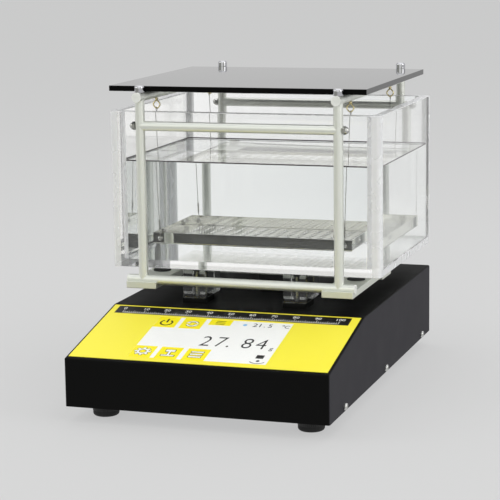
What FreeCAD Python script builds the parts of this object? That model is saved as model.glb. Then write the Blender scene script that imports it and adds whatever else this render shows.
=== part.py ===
import FreeCAD, Part
import math
import os

from FreeCAD import Vector

os.makedirs("parts", exist_ok=True)

# A bench meter that finds density by weighing a sample in air and then in water.
# Millimetres. X runs left to right, Y from the front to the back, Z up from the table.
# The origin is on the table, under the middle of the whole outline.

# Housing: a folded steel cover with a sloping front panel, over a flanged base plate
housing_width = 287.4
deck_front_margin = 26.2
deck_rear_margin = 46.6
front_height = 52.0
rear_height = 81.7
slope_run = 139.5
cover_sheet = 1.5
bend_radius = 2.0
base_sheet = 2.0
base_flange_height = 12.0
base_fit = 0.25

# Levelling feet: a rubber pad, a ribbed wheel on a screw, and a threaded bush in the base plate
foot_height = 16.3
foot_inset_x = 30.2
foot_inset_y = 38.0
pad_diameter = 28.0
pad_height = 6.0
pad_round = 3.2
wheel_diameter = 28.5
wheel_gap = 0.3
rib_count = 40
rib_depth = 0.55
rib_rise_share = 0.3
rib_fall_share = 0.7
stud_diameter = 8.0
stud_rise = 20.0
stud_fit = 0.08
spigot_diameter = 9.4
spigot_length = 2.8
spigot_fit = 0.3
socket_floor = 0.2
bush_diameter = 14.0
bush_neck_diameter = 12.0
bush_fit = 0.05
bush_height = 12.0

# Front panel: a printed film over the slope, a glass touch screen, its display and its board
overlay_side_margin = 3.1
overlay_low = 4.9
overlay_top_margin = 3.0
overlay_thickness = 0.4
window_left = 78.2
window_right = 73.0
window_low = 13.3
window_top_margin = 27.0
glass_margin = 4.0
glass_thickness = 1.8
glass_fit = 0.3
display_thickness = 6.2
display_inset = 1.5
display_board_drop = 4.4
display_board_thickness = 1.6
display_board_wing = 12.0
display_chip_offset = 36.0
board_edge_to_spacer = 5.0
spacer_diameter = 6.0

# Main board on the base plate, near the rear sockets
main_board_foot_gap = 6.0
main_board_cell_gap = 5.0
main_board_depth = 92.0
main_board_thickness = 1.6
main_board_spacer_height = 8.0
main_board_rear_gap = 22.0
chip_width = 18.0
chip_height = 2.4
relay_width = 16.0
relay_height = 12.0
connector_width = 24.0
connector_depth = 8.0
connector_height = 9.0

# Rear sockets, which set how far the outline reaches behind the housing
port_stand_out = 4.5
port_height = 34.0
serial_side_inset = 51.7
port_pitch = 40.0
serial_flange_width = 31.0
serial_flange_height = 12.6
serial_flange_thickness = 1.2
serial_shell_width = 17.4
serial_shell_height = 8.6
serial_shell_wall = 0.6
serial_core_recess = 1.0
serial_body_depth = 9.0
serial_corner = 2.2
serial_fit = 0.4
inlet_barrel_diameter = 11.0
inlet_flange_diameter = 14.0
inlet_bore_diameter = 5.7
inlet_bore_depth = 9.5
inlet_pin_diameter = 2.1
inlet_pin_recess = 1.0
inlet_body_length = 14.0
inlet_flange_thickness = 2.0
inlet_fit = 0.2

# Side screws that hold the cover to the base plate
side_screw_height = 5.5
side_screw_set_backs = [56.3, 228.8]
side_screw_rear_inset = 47.0
side_screw_head_diameter = 7.8
side_screw_head_height = 3.2
side_screw_shank_diameter = 4.0
side_screw_length = 8.0
side_screw_slot_width = 1.0
side_screw_slot_depth = 0.8

# Load cell, its mount, its overload stop and the block that takes the weight to it
cell_length = 130.0
cell_width = 30.0
cell_height = 22.0
cell_end_to_hole = 15.0
cell_window_diameter = 15.0
cell_window_spacing = 30.0
cell_window_slot = 5.0
mount_length = 36.0
mount_height = 20.0
cell_screw_diameter = 6.0
cell_screw_head_diameter = 10.0
cell_screw_head_height = 4.0
cell_screw_spacing = 18.0
cell_screw_grip = 14.0
stop_gap = 0.8
stop_screw_diameter = 6.0
stop_nut_width = 10.0
stop_nut_height = 5.0
receiver_width = 35.0
receiver_gap = 2.0
receiver_screw_diameter = 5.0
receiver_screw_head_diameter = 8.5
receiver_screw_head_height = 3.5
receiver_screw_offset = 8.5
receiver_screw_grip = 12.0

# Weighing frame: flat side bars on a bridge plate, round posts, cross tubes and top beams
frame_offset_y = 5.5
post_spacing_x = 224.4
post_tank_gap = 14.45
tube_diameter = 10.5
tube_wall = 1.5
tube_fit = 0.05
bar_width = 35.0
bar_thickness = 7.5
bar_overhang = 8.7
bar_deck_gap = 18.0
bar_chamfer = 0.5
bridge_depth = 40.0
bridge_thickness = 3.0
bottom_tube_overhang = 18.3
bottom_tube_rise = 1.5
cross_tube_drop = 31.5
beam_tank_gap = 12.15
beam_overhang = 10.0
cap_flange = 1.2
cap_spigot_length = 6.0
cap_fit = 0.05
cap_notch_width = 1.2
cap_notch_depth = 0.4
bumper_diameter = 20.0
bumper_thickness = 1.2
bumper_offset_y = 76.5
bumper_inset_x = 2.0
tie_rod_diameter = 4.0
tie_rod_fit = 0.1
tie_rod_reach = 3.5
nut_flats = 8.0
nut_hex_length = 3.4
nut_dome_diameter = 7.4
nut_dome_length = 3.4
post_bolt_diameter = 5.0
post_bolt_head_diameter = 9.5
post_bolt_head_height = 2.8
post_bolt_grip = 25.0
bolt_fit = 0.1
bridge_screw_diameter = 5.0
bridge_screw_head_diameter = 8.5
bridge_screw_head_height = 2.8
bridge_screw_inset = 12.0
bridge_screw_rise = 6.0

# Chrome pins over the posts, which keep the plate from sliding off the beams
pin_diameter = 11.0
front_pin_height = 7.2
rear_pin_height = 13.4
pin_crown = 2.4
pin_shank_diameter = 5.0
pin_shank_length = 24.0

# Weighing plate: a loose sheet of black glass, lying a little to the left
plate_overhang = 33.8
plate_thickness = 6.0
plate_offset_x = -4.5
plate_pin_gap = 0.4
plate_seat_gap = 0.3
plate_corner_radius = 1.0

# Brass screw eyes under the beams, and the wire hangers that carry the tray
eye_spacing_y = 177.0
eye_drop = 13.2
eye_ring_diameter = 7.9
eye_wire_diameter = 1.3
eye_shank_diameter = 2.2
eye_shank_top_gap = 1.0
hanger_lean = 5.2
hanger_wire_diameter = 0.6
hanger_gap = 0.35
hanger_top_loop_diameter = 4.0
hanger_low_loop_diameter = 4.4

# Tray: bent stainless sheet with a perforated floor, hung in the water
tray_height = 12.5
tray_floor_gap = 15.0
tray_sheet = 1.0
tray_bend_radius = 1.5
tray_hole_diameter = 9.0
tray_hole_pitch = 13.0
tray_hole_margin = 8.0
tray_screw_inset = 8.5
tray_screw_height = 6.2
tray_screw_diameter = 3.0
tray_screw_head_diameter = 5.8
tray_screw_head_height = 1.8
tray_screw_neck = 1.4
tray_side_screw_inset = 42.8
tray_side_screw_height = 8.2
tray_nut_flats = 5.5
tray_nut_height = 2.0

# Water tank: five glued acrylic sheets, standing on four pillars
tray_side_gap = 29.0
tray_end_gap = 21.8
tank_height = 174.4
tank_wall = 10.0
tank_floor_thickness = 8.0
tank_edge_radius = 5.0
tank_seat_gap = 0.2
pillar_block_width = 27.0
pillar_block_depth = 30.0
pillar_block_height = 6.0
pillar_width = 26.5
pillar_depth = 50.0
pillar_height = 31.0
pillar_centre_x = 58.0
pillar_block_inset_y = 13.5
pillar_edge_radius = 1.0
pillar_screw_diameter = 6.0
pillar_screw_head_diameter = 12.0
pillar_screw_head_height = 3.3
pillar_screw_tail = 8.0
pillar_screw_recess = 0.1
pillar_screw_fit = 0.1
pillar_nut_flats = 10.0
pillar_nut_height = 5.0

# One overrun serves every through cut, and one share tells a straight or level edge
overrun = 2.0
straight_share = 0.999

# Places worked out from the sizes above
# The screw eyes place the tray, the tray sizes the tank, and the tank sizes the frame and the housing
tray_depth = eye_spacing_y - tray_screw_neck
tank_depth = tray_depth + 2 * (tray_end_gap + tank_wall)
housing_depth = slope_run + deck_front_margin + tank_depth + deck_rear_margin
outline_depth = housing_depth + port_stand_out
front_y = -outline_depth / 2
back_y = front_y + housing_depth
tank_front_y = front_y + slope_run + deck_front_margin
tank_back_y = tank_front_y + tank_depth
frame_y = (tank_front_y + tank_back_y) / 2 + frame_offset_y
tube_radius = tube_diameter / 2
tube_bore_radius = tube_radius - tube_wall
post_spacing_y = tank_depth + 2 * (post_tank_gap + tube_radius)
post_ys = [frame_y - post_spacing_y / 2, frame_y + post_spacing_y / 2]
eye_ys = [frame_y - eye_spacing_y / 2, frame_y + eye_spacing_y / 2]
bar_length = post_spacing_y + 2 * bar_overhang
beam_length = post_spacing_y + 2 * beam_overhang

side_x = housing_width / 2
post_x = post_spacing_x / 2
tray_screw_x = post_x - hanger_lean
tray_width = 2 * (tray_screw_x + tray_screw_inset)
tank_width = tray_width + 2 * (tray_side_gap + tank_wall)
plate_width = post_spacing_x + 2 * plate_overhang
bottom_tube_length = post_spacing_x + 2 * bottom_tube_overhang
serial_x = serial_side_inset - side_x
inlet_x = serial_x + port_pitch
foot_xs = [foot_inset_x - side_x, side_x - foot_inset_x]
foot_ys = [front_y + foot_inset_y, back_y - foot_inset_y]

deck_z = foot_height
cover_top_z = deck_z + rear_height
slope_angle = math.atan2(rear_height - front_height, slope_run)
slope_length = math.hypot(rear_height - front_height, slope_run)
overlay_high = slope_length - overlay_top_margin
window_high = slope_length - window_top_margin
pillar_top_z = cover_top_z + pillar_block_height + pillar_height
tank_bottom_z = pillar_top_z + tank_seat_gap
tank_top_z = tank_bottom_z + tank_height
tray_bottom_z = tank_bottom_z + tank_floor_thickness + tray_floor_gap
tray_screw_z = tray_bottom_z + tray_screw_height
bar_bottom_z = cover_top_z + bar_deck_gap
bar_top_z = bar_bottom_z + bar_thickness
bottom_tube_z = bar_top_z + bottom_tube_rise
beam_z = tank_top_z + beam_tank_gap + tube_radius
beam_top_z = beam_z + tube_radius
cross_tube_z = beam_z - cross_tube_drop
plate_bottom_z = beam_top_z + plate_seat_gap
eye_z = beam_z - eye_drop
sides = [-1, 1]
side_names = {-1: "left", 1: "right"}
end_names = ["front", "rear"]


def export(node, shape):
    shape.exportStep("parts/" + node + ".step")


def block(x_low, x_high, y_low, y_high, z_low, z_high):
    return Part.makeBox(x_high - x_low, y_high - y_low, z_high - z_low, Vector(x_low, y_low, z_low))


def centred_block(x, y, z_low, width, depth, height):
    return block(x - width / 2, x + width / 2, y - depth / 2, y + depth / 2, z_low, z_low + height)


def rod_x(diameter, x_low, x_high, y, z):
    return Part.makeCylinder(diameter / 2, x_high - x_low, Vector(x_low, y, z), Vector(1, 0, 0))


def rod_y(diameter, y_low, y_high, x, z):
    return Part.makeCylinder(diameter / 2, y_high - y_low, Vector(x, y_low, z), Vector(0, 1, 0))


def rod_z(diameter, z_low, z_high, x, y):
    return Part.makeCylinder(diameter / 2, z_high - z_low, Vector(x, y, z_low), Vector(0, 0, 1))


def hexagon(flats, length, place, direction):
    # A six-sided prism, its first corner turned up the page
    radius = flats / math.sqrt(3)
    corners = [Vector(radius * math.cos(k * math.pi / 3), radius * math.sin(k * math.pi / 3), 0)
               for k in range(6)]
    face = Part.Face(Part.makePolygon(corners + corners[:1]))
    prism = face.extrude(Vector(0, 0, length))
    prism.Placement = FreeCAD.Placement(place, FreeCAD.Rotation(Vector(0, 0, 1), direction))
    return prism


def fuse_all(shapes):
    return shapes[0].fuse(shapes[1:]).removeSplitter() if len(shapes) > 1 else shapes[0]


def cut_all(shape, tools):
    return shape.cut(Part.makeCompound(tools))


def group(shapes):
    return Part.makeCompound(shapes)


def on_slope(shape):
    # Local Y runs up the sloping panel from its front edge, local Z stands out of it
    placed = shape.copy()
    placed.rotate(Vector(0, 0, 0), Vector(1, 0, 0), math.degrees(slope_angle))
    placed.translate(Vector(0, front_y, deck_z + front_height))
    return placed


def edges_where(shape, test):
    return [edge for edge in shape.Edges if test(edge)]


def level_edge(edge, z):
    tolerance = (1 - straight_share) * edge.Length
    return all(abs(vertex.Point.z - z) < tolerance for vertex in edge.Vertexes)


def upright_edge(edge):
    return edge.BoundBox.ZLength > straight_share * edge.Length


# Housing

def side_profile(points, x_low, x_high):
    corners = [Vector(x_low, y, z) for y, z in points]
    face = Part.Face(Part.makePolygon(corners + corners[:1]))
    return face.extrude(Vector(x_high - x_low, 0, 0))


def cover_shell():
    outer = side_profile([(front_y, deck_z),
                          (front_y, deck_z + front_height),
                          (front_y + slope_run, cover_top_z),
                          (back_y, cover_top_z),
                          (back_y, deck_z)], -side_x, side_x)
    outer = outer.makeFillet(bend_radius, edges_where(outer, lambda edge: not level_edge(edge, deck_z)))
    rise = math.tan(slope_angle)
    slope_drop = cover_sheet / math.cos(slope_angle)
    inner_front_z = deck_z + front_height + cover_sheet * rise - slope_drop
    inner_crest_run = (rear_height - cover_sheet - front_height + slope_drop) / rise
    inner = side_profile([(front_y + cover_sheet, deck_z - overrun),
                          (front_y + cover_sheet, inner_front_z),
                          (front_y + inner_crest_run, cover_top_z - cover_sheet),
                          (back_y - cover_sheet, cover_top_z - cover_sheet),
                          (back_y - cover_sheet, deck_z - overrun)],
                         cover_sheet - side_x, side_x - cover_sheet)
    return outer.cut(inner)


glass_left = -window_left - glass_margin
glass_right = window_right + glass_margin
glass_low = window_low - glass_margin
glass_high = window_high + glass_margin
pillar_block_ys = [tank_front_y + pillar_block_inset_y, tank_back_y - pillar_block_inset_y]
pillar_ys = [tank_front_y + pillar_depth / 2, tank_back_y - pillar_depth / 2]
pillar_hole_diameter = pillar_screw_diameter + 2 * pillar_screw_fit
port_z = deck_z + port_height
side_screw_z = deck_z + side_screw_height
side_screw_hole_diameter = side_screw_shank_diameter + 2 * bolt_fit


side_screw_ys = [front_y + set_back for set_back in side_screw_set_backs] + [back_y - side_screw_rear_inset]


def side_screw_holes():
    reach = side_x + overrun
    return [rod_x(side_screw_hole_diameter, -reach, reach, y, side_screw_z) for y in side_screw_ys]


def housing_cover():
    window = on_slope(block(glass_left - glass_fit, glass_right + glass_fit,
                            glass_low - glass_fit, glass_high + glass_fit,
                            -cover_sheet - overrun, overrun))
    receiver_hole = centred_block(0, frame_y, cover_top_z - cover_sheet - overrun,
                                  receiver_width + 2 * receiver_gap, receiver_width + 2 * receiver_gap,
                                  cover_sheet + 2 * overrun)
    pillar_holes = [rod_z(pillar_hole_diameter, cover_top_z - cover_sheet - overrun, cover_top_z + overrun,
                          side * pillar_centre_x, y)
                    for side in sides for y in pillar_block_ys]
    serial_hole = block(serial_x - serial_shell_width / 2 - serial_fit,
                        serial_x + serial_shell_width / 2 + serial_fit,
                        back_y - cover_sheet - overrun, back_y + overrun,
                        port_z - serial_shell_height / 2 - serial_fit,
                        port_z + serial_shell_height / 2 + serial_fit)
    inlet_hole = rod_y(inlet_barrel_diameter + 2 * inlet_fit, back_y - cover_sheet - overrun,
                       back_y + overrun, inlet_x, port_z)
    return cut_all(cover_shell(), [window, receiver_hole, serial_hole, inlet_hole]
                   + pillar_holes + side_screw_holes())


mount_y = frame_y - cell_end_to_hole + cell_length - mount_length / 2
cell_screw_ys = [mount_y - cell_screw_spacing / 2, mount_y + cell_screw_spacing / 2]


def base_plate():
    half_width = side_x - cover_sheet - base_fit
    low_y = front_y + cover_sheet + base_fit
    high_y = back_y - cover_sheet - base_fit
    tray = block(-half_width, half_width, low_y, high_y, deck_z, deck_z + base_flange_height)
    hollow = block(base_sheet - half_width, half_width - base_sheet, low_y + base_sheet,
                   high_y - base_sheet, deck_z + base_sheet, deck_z + base_flange_height + overrun)
    bush_holes = [rod_z(bush_neck_diameter + 2 * bush_fit, deck_z - overrun,
                        deck_z + base_sheet + overrun, x, y) for x in foot_xs for y in foot_ys]
    cell_holes = [rod_z(cell_screw_diameter + 2 * bolt_fit, deck_z - overrun,
                        deck_z + base_sheet + overrun, 0, y) for y in cell_screw_ys]
    return cut_all(tray, [hollow] + bush_holes + cell_holes + side_screw_holes())


def foot_bushes():
    bushes = []
    for x in foot_xs:
        for y in foot_ys:
            neck = rod_z(bush_neck_diameter, deck_z, deck_z + base_sheet, x, y)
            body = rod_z(bush_diameter, deck_z + base_sheet, deck_z + base_sheet + bush_height, x, y)
            bore = rod_z(stud_diameter + 2 * stud_fit, deck_z - overrun,
                         deck_z + base_sheet + bush_height + overrun, x, y)
            bushes.append(fuse_all([neck, body]).cut(bore))
    return group(bushes)


def side_screw(side, y):
    head_face = side_x + side_screw_head_height
    head_round = side_screw_head_height / 2
    head = rod_x(side_screw_head_diameter, side_x, head_face, y, side_screw_z)
    outer_edges = edges_where(head, lambda edge: edge.BoundBox.XMin > side_x + head_round)
    head = head.makeFillet(head_round, outer_edges)
    shank = rod_x(side_screw_shank_diameter, side_x - side_screw_length, side_x, y, side_screw_z)
    across = side_screw_head_diameter + overrun
    slots = [centred_block(head_face, y, side_screw_z - high / 2, 2 * side_screw_slot_depth, wide, high)
             for wide, high in [(side_screw_slot_width, across / 2), (across / 2, side_screw_slot_width)]]
    screw = cut_all(fuse_all([head, shank]), slots)
    return screw if side > 0 else screw.mirror(Vector(0, 0, 0), Vector(1, 0, 0))


def side_screws():
    return group([side_screw(side, y) for side in sides for y in side_screw_ys])


# Levelling feet

def foot_pad(x, y):
    pad = rod_z(pad_diameter, 0, pad_height, x, y)
    pad = pad.makeFillet(pad_round, edges_where(pad, lambda edge: level_edge(edge, 0)))
    socket = rod_z(spigot_diameter + 2 * spigot_fit, pad_height - spigot_length - socket_floor,
                   pad_height + overrun, x, y)
    return pad.cut(socket)


def foot_wheel(x, y):
    # Ribs stand round the rim as shallow teeth
    outer = wheel_diameter / 2
    points = []
    for k in range(rib_count):
        for share, radius in [(0, outer - rib_depth), (rib_rise_share, outer), (rib_fall_share, outer)]:
            angle = 2 * math.pi * (k + share) / rib_count
            points.append(Vector(x + radius * math.cos(angle), y + radius * math.sin(angle), pad_height))
    rim = Part.Face(Part.makePolygon(points + points[:1]))
    wheel_top = foot_height - wheel_gap
    wheel = rim.extrude(Vector(0, 0, wheel_top - pad_height))
    stud = rod_z(stud_diameter, wheel_top, wheel_top + stud_rise, x, y)
    spigot = rod_z(spigot_diameter, pad_height - spigot_length, pad_height, x, y)
    return fuse_all([wheel, stud, spigot])


# Front panel and boards

def front_overlay():
    film = block(overlay_side_margin - side_x, side_x - overlay_side_margin,
                 overlay_low, overlay_high, 0, overlay_thickness)
    window = block(-window_left, window_right, window_low, window_high, -overrun, overrun)
    return on_slope(film.cut(window))


def display_glass():
    return on_slope(block(glass_left, glass_right, glass_low, glass_high, -glass_thickness, 0))


display_back = -glass_thickness - display_thickness
display_board_top = display_back - display_board_drop


def display_module():
    case = block(glass_left + display_inset, glass_right - display_inset,
                 glass_low + display_inset, glass_high - display_inset, display_back, -glass_thickness)
    connector = centred_block(0, (glass_low + glass_high) / 2, display_board_top,
                              connector_width, connector_depth, display_board_drop)
    return on_slope(fuse_all([case, connector]))


display_board_left = glass_left - display_board_wing
display_board_right = glass_right + display_board_wing


def display_spacer_places():
    return [(x, y) for x in (display_board_left + board_edge_to_spacer,
                             display_board_right - board_edge_to_spacer)
            for y in (glass_low + display_board_wing, glass_high - display_board_wing)]


def display_board():
    board = block(display_board_left, display_board_right, glass_low + board_edge_to_spacer,
                  glass_high - board_edge_to_spacer, display_board_top - display_board_thickness,
                  display_board_top)
    chips = [centred_block(side * display_chip_offset, (glass_low + glass_high) / 2,
                           display_board_top - display_board_thickness - chip_height,
                           chip_width, chip_width, chip_height) for side in sides]
    return on_slope(fuse_all([board] + chips))


# The board lies between the rear left foot's bush and the load cell
main_board_left = foot_xs[0] + bush_diameter / 2 + main_board_foot_gap
main_board_right = -cell_width / 2 - main_board_cell_gap
main_board_width = main_board_right - main_board_left
main_board_centre_x = (main_board_left + main_board_right) / 2
main_board_y = back_y - main_board_rear_gap - main_board_depth / 2
main_board_bottom = deck_z + base_sheet + main_board_spacer_height
main_board_top = main_board_bottom + main_board_thickness


def main_spacer_places():
    return [(main_board_centre_x + side * (main_board_width / 2 - board_edge_to_spacer),
             main_board_y + end * (main_board_depth / 2 - board_edge_to_spacer))
            for side in sides for end in sides]


def main_board():
    board = centred_block(main_board_centre_x, main_board_y, main_board_bottom,
                          main_board_width, main_board_depth, main_board_thickness)
    chip = centred_block(main_board_centre_x, main_board_y, main_board_top,
                         chip_width, chip_width, chip_height)
    relays = [centred_block(main_board_centre_x + side * main_board_width / 4,
                            main_board_y - main_board_depth / 4, main_board_top,
                            relay_width, relay_width, relay_height) for side in sides]
    connector = centred_block(main_board_centre_x, main_board_y + main_board_depth / 3, main_board_top,
                              connector_width, connector_depth, connector_height)
    return fuse_all([board, chip, connector] + relays)


def board_spacers():
    upper = [on_slope(rod_z(spacer_diameter, display_board_top, -cover_sheet, x, y))
             for x, y in display_spacer_places()]
    lower = [rod_z(spacer_diameter, deck_z + base_sheet, main_board_bottom, x, y)
             for x, y in main_spacer_places()]
    return group(upper + lower)


# Rear sockets

def serial_port():
    inner_y = back_y - cover_sheet
    flange = block(serial_x - serial_flange_width / 2, serial_x + serial_flange_width / 2,
                   inner_y - serial_flange_thickness, inner_y,
                   port_z - serial_flange_height / 2, port_z + serial_flange_height / 2)
    shell = block(serial_x - serial_shell_width / 2, serial_x + serial_shell_width / 2,
                  inner_y, back_y + port_stand_out,
                  port_z - serial_shell_height / 2, port_z + serial_shell_height / 2)
    shell = shell.makeFillet(serial_corner, edges_where(
        shell, lambda edge: edge.BoundBox.YLength > straight_share * edge.Length))
    recess = block(serial_x - serial_shell_width / 2 + serial_shell_wall,
                   serial_x + serial_shell_width / 2 - serial_shell_wall,
                   back_y + port_stand_out - serial_core_recess, back_y + port_stand_out + overrun,
                   port_z - serial_shell_height / 2 + serial_shell_wall,
                   port_z + serial_shell_height / 2 - serial_shell_wall)
    body = block(serial_x - serial_shell_width / 2, serial_x + serial_shell_width / 2,
                 inner_y - serial_flange_thickness - serial_body_depth, inner_y - serial_flange_thickness,
                 port_z - serial_shell_height / 2, port_z + serial_shell_height / 2)
    return fuse_all([flange, shell, body]).cut(recess)


def power_inlet():
    inner_y = back_y - cover_sheet
    face_y = back_y + inlet_flange_thickness
    barrel = rod_y(inlet_barrel_diameter, inner_y - inlet_body_length, back_y, inlet_x, port_z)
    flange = rod_y(inlet_flange_diameter, back_y, face_y, inlet_x, port_z)
    bore = rod_y(inlet_bore_diameter, face_y - inlet_bore_depth, face_y + overrun, inlet_x, port_z)
    pin = rod_y(inlet_pin_diameter, face_y - inlet_bore_depth, face_y - inlet_pin_recess, inlet_x, port_z)
    return fuse_all([fuse_all([barrel, flange]).cut(bore), pin])


# Load cell and the block that stands on it

mount_top_z = deck_z + base_sheet + mount_height
cell_top_z = mount_top_z + cell_height
cell_low_y = frame_y - cell_end_to_hole
cell_high_y = cell_low_y + cell_length
receiver_top_z = bar_bottom_z - bridge_thickness


def load_cell_mount():
    mount = centred_block(0, mount_y, deck_z + base_sheet, cell_width, mount_length, mount_height)
    holes = [rod_z(cell_screw_diameter + 2 * bolt_fit, deck_z, mount_top_z + overrun, 0, y)
             for y in cell_screw_ys]
    return cut_all(mount, holes)


def load_cell():
    # Two round windows joined by a slot leave the thin webs that bend
    beam = block(-cell_width / 2, cell_width / 2, cell_low_y, cell_high_y, mount_top_z, cell_top_z)
    middle_y = (cell_low_y + cell_high_y) / 2
    middle_z = (mount_top_z + cell_top_z) / 2
    reach = cell_width / 2 + overrun
    windows = [rod_x(cell_window_diameter, -reach, reach, middle_y + end * cell_window_spacing / 2, middle_z)
               for end in sides]
    slot = block(-reach, reach, middle_y - cell_window_spacing / 2, middle_y + cell_window_spacing / 2,
                 middle_z - cell_window_slot / 2, middle_z + cell_window_slot / 2)
    fixed = [rod_z(cell_screw_diameter + 2 * bolt_fit, mount_top_z - overrun,
                   mount_top_z + cell_screw_grip + bolt_fit, 0, y) for y in cell_screw_ys]
    free = [rod_z(receiver_screw_diameter + 2 * bolt_fit, mount_top_z - overrun, cell_top_z + overrun,
                  side * receiver_screw_offset, frame_y) for side in sides]
    pockets = [rod_z(receiver_screw_head_diameter + 2 * bolt_fit, mount_top_z - overrun,
                     mount_top_z + receiver_screw_head_height + bolt_fit,
                     side * receiver_screw_offset, frame_y) for side in sides]
    return cut_all(beam, windows + [slot] + fixed + free + pockets)


def load_cell_screws():
    return group([headed_screw(0, y, cell_screw_head_diameter, deck_z - cell_screw_head_height, deck_z,
                               cell_screw_diameter, deck_z, mount_top_z + cell_screw_grip)
                  for y in cell_screw_ys])


def overload_stop():
    floor_z = deck_z + base_sheet
    screw = rod_z(stop_screw_diameter, floor_z, mount_top_z - stop_gap, 0, frame_y)
    nut = hexagon(stop_nut_width, stop_nut_height, Vector(0, frame_y, floor_z), Vector(0, 0, 1))
    return fuse_all([screw, nut])


def load_receiver():
    column = centred_block(0, frame_y, cell_top_z, receiver_width, receiver_width,
                           receiver_top_z - cell_top_z)
    low_holes = [rod_z(receiver_screw_diameter + 2 * bolt_fit, cell_top_z - overrun,
                       cell_top_z + receiver_screw_grip + bolt_fit,
                       side * receiver_screw_offset, frame_y) for side in sides]
    high_holes = [rod_z(receiver_screw_diameter + 2 * bolt_fit,
                        receiver_top_z - receiver_screw_grip - bolt_fit, receiver_top_z + overrun,
                        side * receiver_screw_offset, frame_y + end * receiver_screw_offset)
                  for side in sides for end in sides]
    return cut_all(column, low_holes + high_holes)


def headed_screw(x, y, head_diameter, head_low, head_high, shank_diameter, shank_low, shank_high):
    head = rod_z(head_diameter, head_low, head_high, x, y)
    shank = rod_z(shank_diameter, shank_low, shank_high, x, y)
    return fuse_all([head, shank])


# Weighing frame

def bridge_screw_places():
    return [(side * (post_x + end * (bar_width / 2 - bridge_screw_inset)), frame_y)
            for side in sides for end in sides]


def bridge_plate():
    half_length = post_x + bar_width / 2
    plate = block(-half_length, half_length, frame_y - bridge_depth / 2, frame_y + bridge_depth / 2,
                  receiver_top_z, bar_bottom_z)
    bar_holes = [rod_z(bridge_screw_diameter + 2 * bolt_fit, receiver_top_z - overrun,
                       bar_bottom_z + overrun, x, y) for x, y in bridge_screw_places()]
    block_holes = [rod_z(receiver_screw_diameter + 2 * bolt_fit, receiver_top_z - overrun,
                         bar_bottom_z + overrun,
                         side * receiver_screw_offset, frame_y + end * receiver_screw_offset)
                   for side in sides for end in sides]
    return cut_all(plate, bar_holes + block_holes)


def frame_screws():
    # From below into the bars, from below into the load block, and from above into the load block
    screws = [headed_screw(x, y, bridge_screw_head_diameter, receiver_top_z - bridge_screw_head_height,
                           receiver_top_z, bridge_screw_diameter, receiver_top_z,
                           bar_bottom_z + bridge_screw_rise)
              for x, y in bridge_screw_places()]
    head_top = mount_top_z + receiver_screw_head_height
    screws += [headed_screw(side * receiver_screw_offset, frame_y, receiver_screw_head_diameter,
                            mount_top_z, head_top, receiver_screw_diameter, head_top,
                            cell_top_z + receiver_screw_grip)
               for side in sides]
    screws += [headed_screw(side * receiver_screw_offset, frame_y + end * receiver_screw_offset,
                            receiver_screw_head_diameter, bar_bottom_z,
                            bar_bottom_z + receiver_screw_head_height, receiver_screw_diameter,
                            receiver_top_z - receiver_screw_grip, bar_bottom_z)
               for side in sides for end in sides]
    return group(screws)


def post_bolt_cone(x, y, grow):
    # The head is let into the bar's underside
    return Part.makeCone(post_bolt_head_diameter / 2 + grow, post_bolt_diameter / 2 + grow,
                         post_bolt_head_height, Vector(x, y, bar_bottom_z), Vector(0, 0, 1))


def side_bar(side):
    x = side * post_x
    bar = centred_block(x, frame_y, bar_bottom_z, bar_width, bar_length, bar_thickness)
    bar = bar.makeChamfer(bar_chamfer, bar.Edges)
    grooves = [rod_x(tube_diameter + 2 * tube_fit, x - bar_width, x + bar_width, y, bottom_tube_z)
               for y in post_ys]
    bolt_holes = [rod_z(post_bolt_diameter + 2 * bolt_fit, bar_bottom_z - overrun, bar_top_z + overrun, x, y)
                  for y in post_ys]
    cones = [post_bolt_cone(x, y, bolt_fit) for y in post_ys]
    bridge_holes = [rod_z(bridge_screw_diameter + 2 * bolt_fit, bar_bottom_z - overrun,
                          bar_bottom_z + bridge_screw_rise + bolt_fit, place_x, y)
                    for place_x, y in bridge_screw_places() if place_x * side > 0]
    return cut_all(bar, grooves + bolt_holes + cones + bridge_holes)


def bar_bumpers():
    pads = []
    for side in sides:
        for end in sides:
            x = side * (post_x + bumper_inset_x)
            y = frame_y + end * bumper_offset_y
            pads.append(rod_z(bumper_diameter, bar_top_z, bar_top_z + bumper_thickness, x, y))
    return group(pads)


def bottom_tube(end):
    y = post_ys[end]
    half = bottom_tube_length / 2 - cap_flange
    tube = rod_x(tube_diameter, -half, half, y, bottom_tube_z)
    bore = rod_x(2 * tube_bore_radius, -half - overrun, half + overrun, y, bottom_tube_z)
    holes = [rod_z(post_bolt_diameter + 2 * bolt_fit, bottom_tube_z - tube_diameter,
                   bottom_tube_z + tube_diameter, side * post_x, y) for side in sides]
    return cut_all(tube, [bore] + holes)


def post(side, end):
    x = side * post_x
    y = post_ys[end]
    rod = rod_z(tube_diameter, bottom_tube_z, beam_z, x, y)
    low_saddle = rod_x(tube_diameter + 2 * tube_fit, x - tube_diameter, x + tube_diameter, y, bottom_tube_z)
    high_saddle = rod_y(tube_diameter + 2 * tube_fit, y - tube_diameter, y + tube_diameter, x, beam_z)
    bolt_hole = rod_z(post_bolt_diameter + 2 * bolt_fit, bottom_tube_z,
                      bottom_tube_z + tube_radius + post_bolt_grip + bolt_fit, x, y)
    pin_hole = rod_z(pin_shank_diameter + 2 * bolt_fit, beam_top_z - pin_shank_length - bolt_fit,
                     beam_top_z, x, y)
    rod_hole = rod_x(tie_rod_diameter + 2 * tie_rod_fit, x - tube_diameter, x + tube_diameter,
                     y, cross_tube_z)
    return cut_all(rod, [low_saddle, high_saddle, bolt_hole, pin_hole, rod_hole])


def cross_tube(end):
    y = post_ys[end]
    tube = rod_x(tube_diameter, -post_x, post_x, y, cross_tube_z)
    bore = rod_x(2 * tube_bore_radius, -post_x - overrun, post_x + overrun, y, cross_tube_z)
    saddles = [rod_z(tube_diameter + 2 * tube_fit, cross_tube_z - tube_diameter,
                     cross_tube_z + tube_diameter, side * post_x, y) for side in sides]
    return cut_all(tube, [bore] + saddles)


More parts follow.
